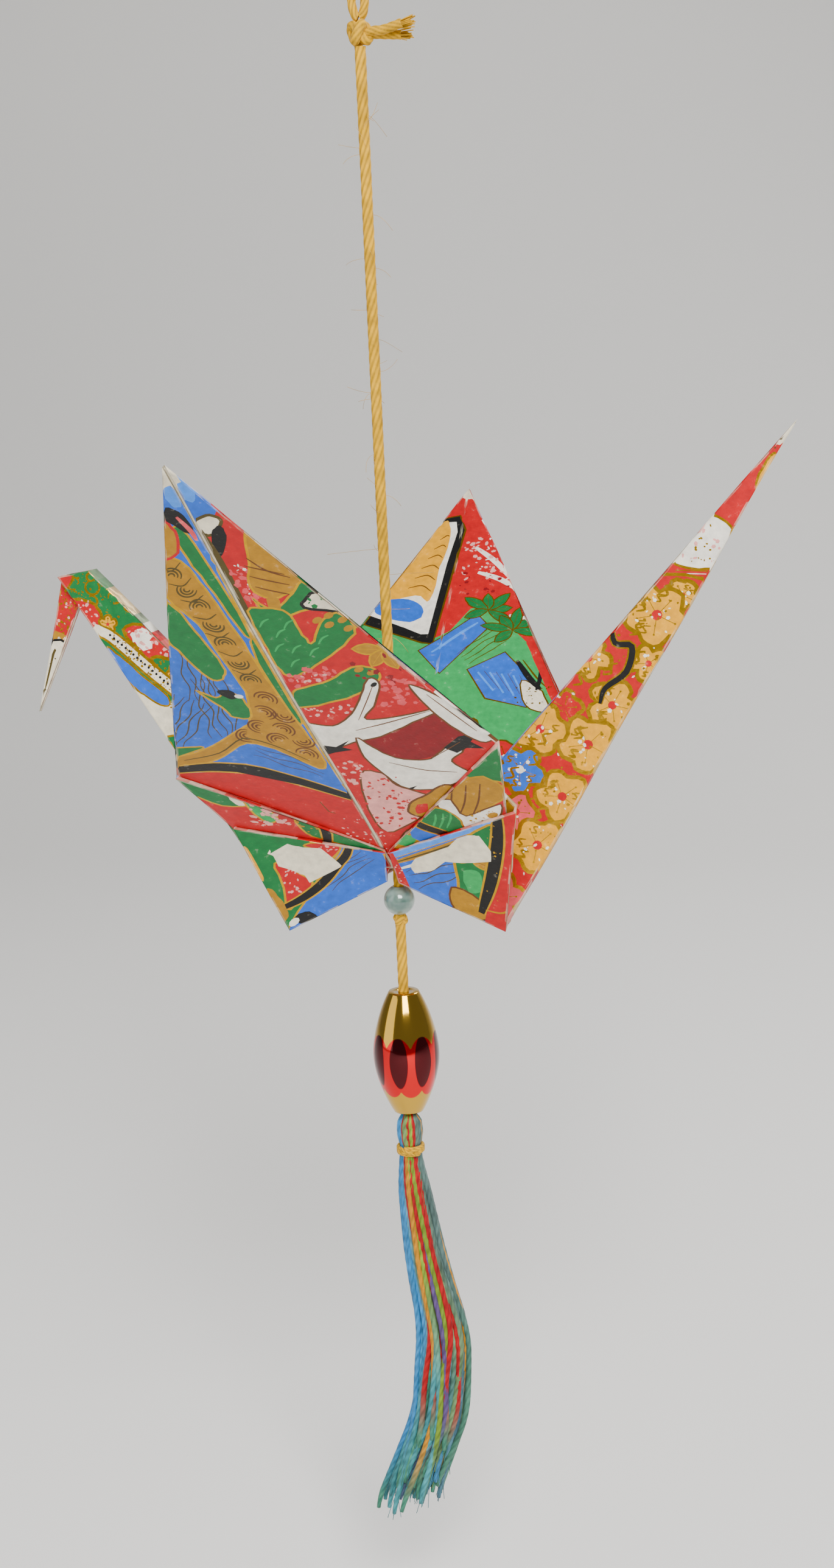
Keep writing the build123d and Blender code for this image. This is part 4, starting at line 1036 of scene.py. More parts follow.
for kind, ring, info in patches:
    if kind == "facet":
        facet, side, hand = info
        names, corners = facet_corners(facet, hand)
        base, marks = facet_print[info]
        show = marks if facet in SEEN else []
        flat2, tris, mid, edge = press(corners, names, [m[0] for m in show], 2.0 if facet in SEEN else 4.0)
        top = raise_up(flat2, corners, ring, facet, printed)
        low = raise_up(flat2, corners, ring, facet, plain)
        rgba = colours_at(mid, base, show)
        much = 0.0 if facet in ("A1", "W1") else 0.12
        rub = np.where(edge, much + 0.26 * np.sin(mid[:, 0] * 1.1 + mid[:, 1] * 0.9) + rng.normal(0, 0.10,
            len(mid)), 0.0)
        lay(top, tris, worn(rgba, rub), top - low)
        flat2, tris, mid, edge = press(corners, names, [], 7.0)
        top = raise_up(flat2, corners, ring, facet, printed)
        low = raise_up(flat2, corners, ring, facet, plain)
        lay(low, tris, plain_rows(HEX["cream"], len(tris)), low - top)
        continue
    if kind == "strip":
        facet, side, hand, a, b = info
        n = parts_of(a, b)
        t = np.linspace(0, 1, n + 1)[:, None]
        tris = np.array([f for i in range(n) for f in ((i, i + 1, n + 2 + i), (i, n + 2 + i, n + 1 + i))])
        base, marks = facet_print[(facet, side, hand)]
        pa, pb = flat_point(a, facet, hand), flat_point(b, facet, hand)
        heart = facet_corners(facet, hand)[1].mean(0)
        mid = pa + (pb - pa) * ((np.arange(n) + 0.5) / n)[:, None]
        mid = mid + unit(heart - (pa + pb) / 2) * 0.35
        rgba = np.repeat(colours_at(mid, base, marks), 2, 0)
        rub = np.repeat(0.28 + 0.3 * np.sin(np.arange(n) * 0.9) + rng.normal(0, 0.12, n), 2)
        rows = []
        for table in (printed, plain):
            q = [table[k] for k in ring]
            rows.append(np.concatenate([q[0] + (q[1] - q[0]) * t, q[3] + (q[2] - q[3]) * t]))
        lay(rows[0], tris, worn(rgba, rub), rows[0] - rows[1])
        lay(rows[1], tris, plain_rows(HEX["cream"], len(tris)), rows[1] - rows[0])
        continue
    loop = [k for i, k in enumerate(ring) if k != ring[i - 1]]
    if len(loop) > 2:
        tris = np.array([(0, i, i + 1) for i in range(1, len(loop) - 1)])
        top = np.array([printed[k] for k in loop])
        low = np.array([plain[k] for k in loop])
        base, marks = facet_print[info]
        rgba = plain_rows(HEX[base], len(tris))
        lay(top, tris, worn(rgba, np.full(len(tris), 0.5)), top - low)
        lay(low, tris, plain_rows(HEX["cream"], len(tris)), low - top)

# cut edges: a narrow wall of dull paper wherever only one patch has a side
for pair, users in by_side.items():
    if len(users) == 1 and len(pair) == 2:
        i, (a, b) = users[0]
        kind, ring, info = patches[i]
        n = parts_of(a[0], b[0]) if kind == "facet" else 1
        t = np.linspace(0, 1, n + 1)[:, None]
        wall = np.concatenate([printed[a] + (printed[b] - printed[a]) * t,
            plain[a] + (plain[b] - plain[a]) * t])
        heart = np.mean([keys[k] for k in ring], 0)
        tris = np.array([f for k in range(n) for f in ((k, k + 1, n + 2 + k), (k, n + 2 + k, n + 1 + k))])
        lay(wall, tris, plain_rows(0.35 * HEX["worn"] + 0.65 * HEX["olive"], len(tris)), wall - heart)

pts = np.concatenate(skin_pts)
tri = np.concatenate(skin_tri)
col = np.concatenate(skin_col)
_, keep, where = np.unique(np.round(pts, 5), axis=0, return_index=True, return_inverse=True)
where = where.ravel()
pts = curl(pts[keep])
tri = where[tri]
good = (tri[:, 0] != tri[:, 1]) & (tri[:, 1] != tri[:, 2]) & (tri[:, 0] != tri[:, 2])
tri, col = tri[good], col[good]
pts[:, 2] -= HANG


def node(tree, kind, links=None, **values):
    """Adds a shader node; values set its properties or inputs, links join sockets to its inputs."""
    n = tree.nodes.new(kind)
    for key, value in values.items():
        if key.startswith("in_"):
            n.inputs[int(key[3:])].default_value = value
        else:
            setattr(n, key, value)
    for name, source in (links or {}).items():
        tree.links.new(source, n.inputs[name])
    return n


def material(name, colour="#ffffff", rough=0.5, metal=0.0, **more):
    """A Principled material of one plain colour; more sets other inputs by name."""
    m = bpy.data.materials.new(name)
    m.use_nodes = True
    bsdf = m.node_tree.nodes["Principled BSDF"]
    bsdf.inputs["Base Color"].default_value = (*srgb(colour), 1.0)
    bsdf.inputs["Roughness"].default_value = rough
    bsdf.inputs["Metallic"].default_value = metal
    for key, value in more.items():
        bsdf.inputs[key.replace("_", " ")].default_value = value
    return m, m.node_tree, bsdf


# washi: matt printed paper, mottled by its long fibres, gold ink glinting, white where creases are rubbed
washi, t, bsdf = material("printed_washi_paper", "#ffffff", 0.5, Specular_IOR_Level=0.28)
ink = node(t, "ShaderNodeVertexColor", layer_name="print")
coord = node(t, "ShaderNodeTexCoord")
fibre = node(t, "ShaderNodeTexNoise", {"Vector": coord.outputs["Object"]}, in_2=900.0, in_3=6.0, in_4=0.62)
tone = node(t, "ShaderNodeMapRange", {0: fibre.outputs[0]}, in_1=0.30, in_2=0.72, in_3=0.78, in_4=1.12)
shade = node(t, "ShaderNodeVectorMath", {0: ink.outputs[0], "Scale": tone.outputs[0]}, operation="SCALE")
rubbed = node(t, "ShaderNodeMapRange", {0: fibre.outputs[0]}, in_1=0.62, in_2=0.76, in_3=0.0, in_4=0.26)
mix = node(t, "ShaderNodeMix", {"Factor": rubbed.outputs[0]}, data_type="RGBA")
t.links.new(shade.outputs[0], mix.inputs[6])
mix.inputs[7].default_value = (*HEX["worn"], 1.0)
t.links.new(mix.outputs[2], bsdf.inputs["Base Color"])
t.links.new(ink.outputs[1], bsdf.inputs["Metallic"])
rough = node(t, "ShaderNodeMapRange", {0: ink.outputs[1]}, in_1=0.0, in_2=1.0, in_3=0.5, in_4=0.3)
t.links.new(rough.outputs[0], bsdf.inputs["Roughness"])
bump = node(t, "ShaderNodeBump", {"Height": fibre.outputs[0]}, in_0=0.55, in_1=0.00012)
t.links.new(bump.outputs[0], bsdf.inputs["Normal"])

me = bpy.data.meshes.new("crane")
me.from_pydata((pts * MM).tolist(), [], tri.tolist())
me.polygons.foreach_set("use_smooth", np.ones(len(me.polygons), bool))
me.materials.append(washi)
layer = me.color_attributes.new("print", "FLOAT_COLOR", "CORNER")
layer.data.foreach_set("color", np.repeat(col, 3, 0).ravel())
crane = bpy.data.objects.new("crane_paper", me)
bpy.context.scene.collection.objects.link(crane)
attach(crane, "root")
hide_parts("crane")


# ---- hanging cord: one twisted yellow floss, taut, from the top knot through crane and beads ----
# The route is a NURBS line in metres; the yarn is swept along the points that it gives. Loose fibres
# stand off it. The knots, the loop and the tassel use the same yarn.
def mesh_object(name, verts, faces, mats, smooth=True):
    """Object from points in mm and faces; verts may be an (n, 3) array."""
    me = bpy.data.meshes.new(name)
    me.from_pydata([tuple(v) for v in np.asarray(verts, float) * MM], [], [tuple(f) for f in faces])
    me.polygons.foreach_set("use_smooth", [smooth] * len(me.polygons))
    for m in mats:
        me.materials.append(m)
    ob = bpy.data.objects.new(name, me)
    bpy.context.scene.collection.objects.link(ob)
    return ob


def grid_faces(rows, cols, start=0, wrap=True):
    """Quads of a rows by cols grid of points, closed round its columns if wrap."""
    r = np.arange(rows - 1)[:, None]
    c = np.arange(cols if wrap else cols - 1)[None, :]
    d = (c + 1) % cols
    quads = np.stack([r * cols + c + 0 * r, r * cols + d, (r + 1) * cols + d, (r + 1) * cols + c], -1)
    return (quads.reshape(-1, 4) + start).tolist()


def yarn(line, radius, lobes, pitch, sides=12, taper=None, phase=0.0):
    """Points and faces of a twisted yarn. Its radius at angle a and length s is
    radius * taper(s) * (0.86 + 0.14 * |cos(lobes / 2 * (a - 2 pi s / pitch))|)."""
    line = np.asarray(line, float)
    step = np.gradient(line, axis=0)
    step /= np.linalg.norm(step, axis=1)[:, None] + 1e-12
    s = np.concatenate([[0.0], np.cumsum(np.linalg.norm(np.diff(line, axis=0), axis=1))])
    side = np.zeros_like(line)
    v = np.array([1.0, 0.0, 0.0]) if abs(step[0][0]) < 0.8 else np.array([0.0, 1.0, 0.0])
    for i, t in enumerate(step):
        v = v - t * np.dot(v, t)
        v /= np.linalg.norm(v) + 1e-12
        side[i] = v
    other = np.cross(step, side)
    a = np.arange(sides) / sides * 2 * math.pi + phase
    wave = np.abs(np.cos(lobes / 2 * (a[None, :] - 2 * math.pi * s[:, None] / pitch)))
    size = radius * (0.86 + 0.14 * wave) * (1.0 if taper is None else np.asarray(taper)[:, None])
    pts = line[:, None, :] + size[..., None] * (np.cos(a)[None, :, None] * side[:, None,
        :] + np.sin(a)[None, :, None] * other[:, None, :])
    n = len(line)
    faces = grid_faces(n, sides)
    faces.append(list(range(sides))[::-1])
    faces.append(list(range((n - 1) * sides, n * sides)))
    # wave also goes out as the painted groove shade that bundle() multiplies into the colour
    return pts.reshape(-1, 3), faces, wave.ravel()


def bundle(name, pieces, mat, dyes):
    """One object from several yarns; dyes gives each its colour, with painted shade in the grooves between
    plies: the colour times 0.42 + 0.58 wave."""
    verts = []
    faces = []
    tint = []
    base = 0
    for (p, f, wave), dye_and_groove_shade in zip(pieces, dyes):
        verts.append(p)
        faces += [[k + base for k in q] for q in f]
        base += len(p)
        # painted shade: each yarn's colour darkened to 0.42 in the grooves between its plies
        tint.append(np.ones((len(p), 1)) * dye_and_groove_shade * (0.42 + 0.58 * wave[:, None]))
    ob = mesh_object(name, np.concatenate(verts), faces, [mat])
    layer = ob.data.color_attributes.new("dye_and_groove_shade", "FLOAT_COLOR", "POINT")
    rgb = np.concatenate(tint)
    layer.data.foreach_set("color", np.concatenate([rgb, np.ones((len(rgb), 1))], 1).ravel())
    return ob


def yarn_material(name):
    """Cotton floss: dull with a soft sheen, fine fibres along the yarn, uneven dye, and painted shade between
    the plies from the colour attribute.
    """
    m, t, bsdf = material(name, "#ffffff", 0.68, Sheen_Weight=0.08, Sheen_Roughness=0.4,
        Specular_IOR_Level=0.25)
    coord = node(t, "ShaderNodeTexCoord")
    fine = node(t, "ShaderNodeTexNoise", {"Vector": coord.outputs["Object"]}, in_2=2600.0, in_3=3.0)
    vary = node(t, "ShaderNodeTexNoise", {"Vector": coord.outputs["Object"]}, in_2=700.0, in_3=3.0)
    ramp = node(t, "ShaderNodeMapRange", {0: vary.outputs[0]}, in_1=0.3, in_2=0.7, in_3=0.70, in_4=1.15)
    # colour attribute: the dye with painted shade in the grooves between plies
    dye_and_groove_shade = node(t, "ShaderNodeVertexColor", layer_name="dye_and_groove_shade")
    mix = node(t, "ShaderNodeVectorMath", {0: dye_and_groove_shade.outputs[0], "Scale": ramp.outputs[0]}, operation="SCALE")
    t.links.new(mix.outputs[0], bsdf.inputs["Base Color"])
    bump = node(t, "ShaderNodeBump", {"Height": fine.outputs[0]}, in_0=0.35, in_1=0.0001)
    t.links.new(bump.outputs[0], bsdf.inputs["Normal"])
    return m


cord_mat = yarn_material("yellow_cotton_floss")
YELLOW = srgb("#e0a800")
Z_KNOT_LOW = 101.0 - HANG  # underside of the top knot
OVAL_TOP = -14.2      # top of the oval bead from the wing hinge, mm
OVAL_LEN = 16.1
Z_END = OVAL_TOP - OVAL_LEN - HANG
ROUTE = [(0, 0, Z_KNOT_LOW), (0, 0, Z_KNOT_LOW - 8), (0, 0, -72), (0, 0, Z_END + 8), (0, 0, Z_END)]
curve = bpy.data.curves.new("cord_route", "CURVE")
curve.dimensions = "3D"
curve.resolution_u = 90
spline = curve.splines.new("NURBS")
spline.points.add(len(ROUTE) - 1)
for point, place_mm in zip(spline.points, ROUTE):
    point.co = (*(np.array(place_mm) * MM), 1.0)
spline.order_u = 3
spline.use_endpoint_u = True
holder = bpy.data.objects.new("cord_route", curve)
bpy.context.scene.collection.objects.link(holder)
bpy.context.view_layer.update()
flat = bpy.data.meshes.new_from_object(holder.evaluated_get(bpy.context.evaluated_depsgraph_get()))
path = np.array([v.co[:] for v in flat.vertices])
bpy.data.objects.remove(holder)
cord = bundle("cord_yarn", [yarn(path / MM, 0.68, 6, 9.0, 36)], cord_mat, [YELLOW])
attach(cord, "root")
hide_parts("cord_main")

cord_fibres = []
for _ in range(46):
    z = rng.uniform(-98, -14)
    a = rng.uniform(0, 2 * math.pi)
    out = np.array([math.cos(a), math.sin(a), 0.0])
    reach = rng.uniform(1.0, 4.2) * (1.6 if z < -60 else 0.8)
    s = np.linspace(0, 1, 9)[:, None]
    bend = np.cross(out, [0, 0, 1]) * rng.uniform(-1.4, 1.4)
    hair = np.array([0, 0, z]) + out * (0.45 + reach * s**0.7) + bend * s**2 * 1.5
    hair[:, 2] += rng.uniform(-2.4, 2.4) * s[:, 0] ** 1.5
    cord_fibres.append(yarn(hair, 0.028, 2, 5.0, 3))
fuzz = bundle("cord_fuzz", cord_fibres, cord_mat, [YELLOW * 0.8 + 0.1] * len(cord_fibres))
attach(fuzz, "root")


# ---- knots and hanging loop: the same yellow floss, tied ----
# An overhand knot with two frayed tails over the crane, a small one under the green bead, and the lower
# part of a loop that the photo's edge cuts off.
def trefoil(radius, height, z, steps=150, spin=0.0):
    """Closed overhand knot: (sin t + 2 sin 2t, cos t - 2 cos 2t, -sin 3t), scaled to radius and height."""
    t = np.linspace(0, 2 * math.pi, steps + 1) + spin
    x = (np.sin(t) + 2 * np.sin(2 * t)) * radius / 3
    y = (np.cos(t) - 2 * np.cos(2 * t)) * radius / 3
    return np.stack([x, y, z - np.sin(3 * t) * height / 2], 1)


def curve_through(points, steps=24):
    """Smooth open line through points in space, by the same Catmull-Rom rule in each axis."""
    p = np.asarray(points, float)
    xy = smooth(p[:, :2], steps, closed=False)
    zz = smooth(np.stack([p[:, 2], p[:, 2]], 1), steps, closed=False)
    return np.concatenate([xy, zz[:, :1]], 1)


knot_parts = [yarn(trefoil(1.08, 1.7, Z_KNOT_LOW + 1.5), 0.62, 6, 6.0, 18)]
TAILS = (((3.2, -0.3, 0.2), (6.7, -0.6, 1.1)), ((3.0, 0.9, -0.2), (6.1, 1.3, -0.4)))  # middle and end
for mid_pt, end_pt in TAILS:
    tail = curve_through([(0.3, 0, 0), (1.6, mid_pt[1] * 0.5, mid_pt[2] * 0.6), mid_pt, end_pt]) + (0, 0,
        Z_KNOT_LOW + 1.5)
    n = len(tail)
    knot_parts.append(yarn(tail[: n - 10], 0.56, 6, 6.0, 18))
    for _ in range(26):
        a = rng.uniform(0, 2 * math.pi)
        r = 0.4 * math.sqrt(rng.uniform(0, 1))
        s = np.linspace(0, 1, 12)[:, None]
        lead = tail[n - 16 : n - 4]
        off = np.array([0, math.cos(a), math.sin(a)]) * r * (1 + s * rng.uniform(0.2, 1.5))
        knot_parts.append(yarn(lead + off + s * (rng.uniform(-0.3, 0.7), 0, 0), 0.075, 2, 3.0, 5))
top_knot = bundle("knot_over_crane", knot_parts, cord_mat, [YELLOW] * len(knot_parts))
stop_knot = bundle("knot_under_bead", [yarn(trefoil(0.62, 0.62, -114.72), 0.42, 4, 3.0, 24)], cord_mat,
    [YELLOW])
u = np.linspace(0.12, 2 * math.pi - 0.12, 90)
ring_line = np.stack([0.86 * np.sin(u) * (0.8 + 0.2 * np.cos(u / 2) ** 2), 0.08 * np.sin(u),
    -3.22 - 2.62 * np.cos(u)], 1)
ring_line[:, 2] = np.minimum(ring_line[:, 2], -0.62)
hang_loop = bundle("loop_yarn", [yarn(ring_line, 0.53, 6, 7.0, 30)], cord_mat, [YELLOW])
for piece, cad in ((top_knot, "top_knot"), (stop_knot, "stop_knot"), (hang_loop, "hang_loop")):
    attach(piece, "root")
    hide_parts(cad)


# ---- beads: a small celadon glass ball, and an oval bead of red glass under gold mirror ends ----
# Both are turned outlines with a bore for the cord. The oval's petals are distances stored on its points,
# cut to sharp edges in the material.
def lathe(name, radius, heights, bore, mats, cols=96):
    """Bored bead: outline radius(height) turned about the cord, closed by its bore."""
    outer = np.stack([radius, heights], 1)
    inner = np.array([(bore, heights[-1]), (bore, (heights[0] + heights[-1]) / 2), (bore, heights[0])])
    prof = np.concatenate([outer, inner])
    a = np.arange(cols) / cols * 2 * math.pi
    pts = np.stack([prof[:, 0:1] * np.cos(a), prof[:, 0:1] * np.sin(a), np.repeat(prof[:, 1:2], cols, 1)],
        -1)
    rows = len(prof)
    faces = np.array(grid_faces(rows, cols))
    close = np.stack([(rows - 1) * cols + np.arange(cols), (rows - 1) * cols + (np.arange(cols) + 1) % cols,
        (np.arange(cols) + 1) % cols, np.arange(cols)], 1)
    faces = np.concatenate([faces, close])[:, ::-1]
    ob = mesh_object(name, pts.reshape(-1, 3), faces.tolist(), mats)
    return ob, pts.reshape(-1, 3)


# celadon glass: pale cloudy green, glossy, a little light passing through
jade, t, bsdf = material("celadon_glass", "#86a99a", 0.12, Transmission_Weight=0.35, IOR=1.5,
    Coat_Weight=1.0, Coat_Roughness=0.05, Subsurface_Weight=0.25)
bsdf.inputs["Subsurface Radius"].default_value = (0.0008, 0.0012, 0.001)
coord = node(t, "ShaderNodeTexCoord")
smoke = node(t, "ShaderNodeTexNoise", {"Vector": coord.outputs["Object"]}, in_2=520.0, in_3=2.0)
ramp = node(t, "ShaderNodeValToRGB", {"Fac": smoke.outputs[0]})
ramp.color_ramp.elements[0].position = 0.35
ramp.color_ramp.elements[0].color = (*srgb("#54776c"), 1)
ramp.color_ramp.elements[1].position = 0.7
ramp.color_ramp.elements[1].color = (*srgb("#a9c2b2"), 1)
t.links.new(ramp.outputs[0], bsdf.inputs["Base Color"])
JADE_R = 2.0
Z_JADE = -2.1 - HANG
w = np.linspace(1.14, -1.14, 40)  # latitudes, up to where the bore cuts the ball
ball, _ = lathe("celadon_bead", JADE_R * np.cos(w), Z_JADE + JADE_R * np.sin(w), 0.75, [jade], 64)
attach(ball, "root")
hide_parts("bead_jade")

# red glass with gold foil: mirror gold ends, clear red petals with dark hearts
glass, t, bsdf = material("red_glass_gold_foil", "#b00d18", 0.1, Coat_Weight=0.25, Coat_Roughness=0.04)
tint = node(t, "ShaderNodeVertexColor", layer_name="foil")
parts = node(t, "ShaderNodeSeparateColor", {0: tint.outputs[0]})
gold_mask = node(t, "ShaderNodeMapRange", {0: parts.outputs[0]}, in_1=0.485, in_2=0.515, in_3=0.0, in_4=1.0)
petal_mask = node(t, "ShaderNodeMapRange", {0: parts.outputs[1]}, in_1=0.485, in_2=0.515, in_3=0.0,
    in_4=1.0)
reds = node(t, "ShaderNodeMix", {"Factor": petal_mask.outputs[0]}, data_type="RGBA")
reds.inputs[6].default_value = (*srgb("#4a0008"), 1)
reds.inputs[7].default_value = (*srgb("#d2000e"), 1)
both = node(t, "ShaderNodeMix", {"Factor": gold_mask.outputs[0]}, data_type="RGBA")
t.links.new(reds.outputs[2], both.inputs[6])
both.inputs[7].default_value = (*srgb("#c49a30"), 1)
t.links.new(both.outputs[2], bsdf.inputs["Base Color"])
metal = node(t, "ShaderNodeMapRange", {0: gold_mask.outputs[0]}, in_1=0.0, in_2=1.0, in_3=0.92, in_4=1.0)
t.links.new(metal.outputs[0], bsdf.inputs["Metallic"])
s = np.linspace(0, 1, 121)
OVAL_DIA = 8.6
Z_TOP = OVAL_TOP - HANG
outline = OVAL_DIA / 2 * (
    0.93 * np.sin(math.pi * (0.10 + 0.80 * s)) ** 0.62 + 0.07 * np.exp(-(((s - 0.55) / 0.24) ** 2)))
oval, pts = lathe("red_gold_bead", outline, Z_TOP - OVAL_LEN * s, 0.76, [glass], 160)
turnby = np.arctan2(pts[:, 1], pts[:, 0])
down = Z_TOP - pts[:, 2]
lobe = (np.abs((turnby / (2 * math.pi) * 8 + 0.58) % 1.0 - 0.5) * 2) * (math.pi / 8) * 4.3
arch = 2.9 * np.sqrt(np.clip(1 - (lobe / 1.95) ** 2, 0, 1))
upper = (8.1 - arch) - down
lower = down - (11.9 + 1.5 * np.sqrt(np.clip(1 - ((1.69 - lobe) / 1.8) ** 2, 0, 1)))
dark = np.hypot(lobe / 1.22, (down - 8.5) / 3.5) - 1.0
foil = np.stack([0.5 + 0.25 * np.maximum(upper, lower), 0.5 + 0.5 * dark, dark * 0, dark * 0 + 1], 1)
layer = oval.data.color_attributes.new("foil", "FLOAT_COLOR", "POINT")
layer.data.foreach_set("color", np.clip(foil, 0, 1).ravel())
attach(oval, "root")
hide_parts("bead_oval")


# ---- tassel: six-strand floss doubled over the cord end, bound with yellow, hanging in a slow wave ----
# Strands are spread by the golden angle over the section; a few in front carry the red, amber and mauve
# streaks of the photo. SKIRT rows are depth under the neck, sideways drift, half width, half depth.
Z_NECK = Z_END - 4.7
STRANDS = 84
SKIRT = np.array([(0.0, 0.0, 1.44, 1.44), (1.25, 0.0, 1.44, 1.44), (4.2, 0.1, 2.3, 2.2),
    (16.0, 1.6, 3.4, 3.1), (26.0, 3.5, 4.3, 3.8), (38.3, 2.3, 4.4, 3.9), (46.0, -0.5, 4.3, 3.7),
    (57.0, -5.0, 4.6, 3.4)])
DYES = {"sky": "#2f86c0", "teal": "#257a86", "lime": "#7d9a24", "sage": "#4a8a52", "red": "#b0040f",
    "mauve": "#5f4a7e", "amber": "#d08a08", "mist": "#4fa0b8", "wine": "#76101c"}
DYES = {k: srgb(v) for k, v in DYES.items()}


def dye_at(u, v, s, lead):
    """Floss colour: blue to the left, lime green in the middle, mauve and amber to the right, turning to
    teal and sage at the tips; lead is the strand's own colour or None."""
    if lead:
        base = DYES[lead]
        ends = DYES["sage"] * 0.6 + DYES["teal"] * 0.4
        k = np.clip((s - 0.80) / 0.16, 0, 1)[:, None]
        return base * (1 - k) + ends * k
    left, right = DYES["sky"], DYES["sage"] * 0.5 + DYES["mauve"] * 0.5
    k = np.clip((u + 0.75) / 0.55, 0, 1)
    m = np.clip((u - 0.25) / 0.5, 0, 1)
    top = left * (1 - k) + DYES["lime"] * k
    top = top * (1 - m) + right * m
    low = DYES["teal"] * 0.55 + DYES["mist"] * 0.25 + DYES["sage"] * 0.2
    low = low * (1 - 0.35 * m) + DYES["mauve"] * 0.35 * m
    if rng.random() < 0.3:
        low = DYES[["lime", "sage", "sky", "mauve"][rng.integers(0, 4)]] * 0.6 + low * 0.4
    blend = np.clip((s - 0.40) / 0.34 + rng.uniform(-0.3, 0.3), 0, 1)[:, None]
    fleck = 1.0 + 0.16 * np.sin(s * rng.uniform(14, 30) + rng.uniform(0, 6))[:, None]
    return (top * (1 - blend) + low * blend) * fleck


strands = []
dyes = []
leads = [None] * STRANDS
for i, name in ((3, "red"), (9, "red"), (14, "red"), (20, "red"), (27, "amber"), (33, "amber"),
        (38, "mauve"), (45, "wine"), (51, "red"), (57, "mauve"), (63, "sky"), (69, "sky"), (75, "lime")):
    leads[i] = name
special = {3: (0.02, -0.93), 9: (0.42, -0.86), 14: (-0.42, -0.80), 20: (0.56, -0.6), 27: (0.93, -0.25),
    33: (-0.25, -0.9), 38: (0.2, -0.9), 45: (0.15, -0.8), 63: (-0.9, -0.3), 69: (-0.8, -0.5),
    75: (0.25, -0.93)}
golden = math.pi * (3 - math.sqrt(5))
kern = np.ones(9) / 9
for i in range(STRANDS):
    r = math.sqrt((i + 0.5) / STRANDS)
    u, v = r * math.cos(i * golden), r * math.sin(i * golden)
    if i in special:
        u, v = special[i]
    reach = rng.uniform(46.5, 52.0) - (6.5 if leads[i] == "red" else 0) * rng.uniform(0.6, 1.3) - 1.2 * u
    s = np.linspace(0, 1, 74)
    depth = s * reach
    rows = (np.pad(np.interp(depth, SKIRT[:, 0], SKIRT[:, k]), 4, mode="edge") for k in (1, 2, 3))
    cx, rx, ry = (np.convolve(q, kern, mode="valid") for q in rows)
    wander = 0.16 * np.sin(s * rng.uniform(5, 11) + rng.uniform(0, 6)) * s
    drift = 0.12 * np.sin(s * rng.uniform(4, 9) + rng.uniform(0, 6)) * s
    wide = 0.80 + 0.12 * rng.random()
    x = cx + (u * wide + wander) * (rx - 0.35)
    y = (v * wide + drift) * (ry - 0.35)
    y[:4] *= 0.92
    neck = np.stack([x, y, Z_NECK - depth], 1)
    h = np.linspace(0, 1, 12)[:-1, None]
    size_at = np.interp(h[:, 0], [0, 0.25, 0.6, 1.0], [0.45, 1.30, 1.42, 1.12])
    head = np.stack([u * size_at, v * size_at, Z_END - 0.45 - h[:, 0] * 4.25], 1)
    head[:, 2] += 0.18 * (1 - np.hypot(u, v)) * (1 - h[:, 0])
    path_i = np.concatenate([head, neck])
    srow = np.concatenate([np.zeros(11), s])
    taper = np.where(srow > 0.95, 1.0 - (srow - 0.95) * 6.0, 1.0)
    strands.append(yarn(path_i, 0.40, 3, 4.6, 9, taper, rng.uniform(0, 6)))
    d = dye_at(u, v, srow, leads[i]) * rng.uniform(0.86, 1.12)
    dyes.append(np.repeat(np.clip(d, 0, 1), 9, 0))
    if i % 2 == 0:
        tip = path_i[-6:]
        for _ in range(4):
            start = tip + rng.normal(0, 0.18, 3)
            stray = np.append(rng.normal(0, 0.5, 2), -rng.uniform(0.1, 0.8))
            hair = start + np.linspace(0, 1, 6)[:, None] * stray
            strands.append(yarn(hair, 0.045, 2, 3.0, 4))
            dyes.append(np.tile(d[-1], (24, 1)))
tassel_mat = yarn_material("variegated_cotton_floss")
skirt = bundle("tassel_floss", strands, tassel_mat, dyes)
wraps = np.linspace(0, 2 * math.pi * 3.2, 130)
lift = np.linspace(-0.14, -1.02, 130)
coil = np.stack([1.6 * np.cos(wraps - 1.9), 1.6 * np.sin(wraps - 1.9), Z_NECK + lift], 1)
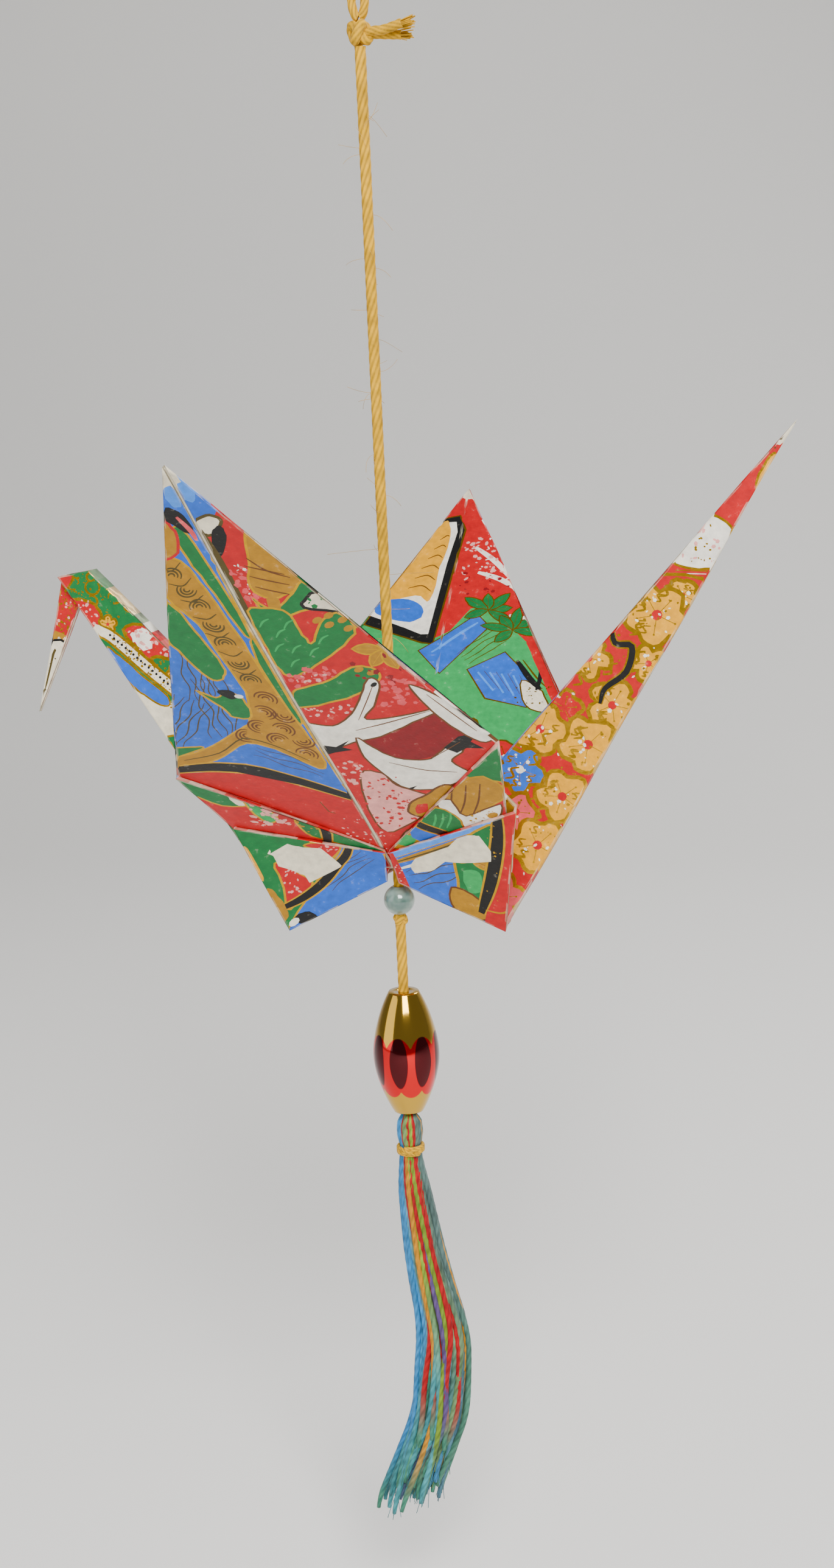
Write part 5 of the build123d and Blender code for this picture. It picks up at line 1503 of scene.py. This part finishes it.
tie = curve_through([(-1.3, -1.2, -0.9), (-0.6, -1.75, -0.7), (0.1, -1.95, -0.5), (0.8, -1.7, -0.3),
    (1.4, -1.1, -0.2)], 8) + (0, 0, Z_NECK)
tie2 = curve_through([(-1.2, -1.25, -0.15), (-0.4, -1.8, -0.4), (0.3, -1.9, -0.65), (0.9, -1.6, -0.95)],
    8) + (0, 0, Z_NECK)
binding = bundle("tassel_tie", [yarn(coil, 0.27, 3, 2.2, 12), yarn(tie, 0.22, 3, 2.0, 12),
    yarn(tie2, 0.22, 3, 2.0, 12)], cord_mat, [YELLOW] * 3)
for piece, cads, name in ((skirt, ("tassel_skirt", "tassel_head"), "floss"),
        (binding, ("tassel_binding",), "cord")):
    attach(piece, "root")
    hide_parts(*cads)


# ---- stage: a plain pale floor that curves up behind, and plain soft studio light ----
# The backdrop is matt white card; the key light is in front and to the right, with a weak fill and rim.
paper_white, _, _ = material("studio_backdrop", "#efede9", 0.9)
arc = np.radians(np.linspace(-90, 0, 16))
prof = [(-0.6, -0.215)] + [(0.45 + 0.35 * math.cos(a), 0.135 + 0.35 * math.sin(a)) for a in arc] + [(0.8,
    0.9)]
sweep = np.array([[(x, y, z) for x in (-1.6, 1.6)] for y, z in prof]).reshape(-1, 3) / MM
ground = mesh_object("studio_floor", sweep, grid_faces(len(prof), 2, wrap=False), [paper_white])
for name, where, size_m, power in (("key", (0.16, -0.50, 0.30), 0.34, 7.6),
        ("fill", (-0.55, -0.35, 0.05), 0.5, 1.4), ("rim", (0.35, 0.35, 0.30), 0.35, 2.8)):
    lamp = bpy.data.lights.new(name, "AREA")
    lamp.energy = power
    lamp.size = size_m
    ob = bpy.data.objects.new(name, lamp)
    ob.location = where
    ob.rotation_euler = (Vector((0, 0, -0.11)) - Vector(where)).to_track_quat("-Z", "Y").to_euler()
    bpy.context.scene.collection.objects.link(ob)
world = bpy.data.worlds.new("studio")
world.use_nodes = True
world.node_tree.nodes["Background"].inputs[0].default_value = (*srgb("#e6e8ec"), 1)
world.node_tree.nodes["Background"].inputs[1].default_value = 0.28
bpy.context.scene.world = world
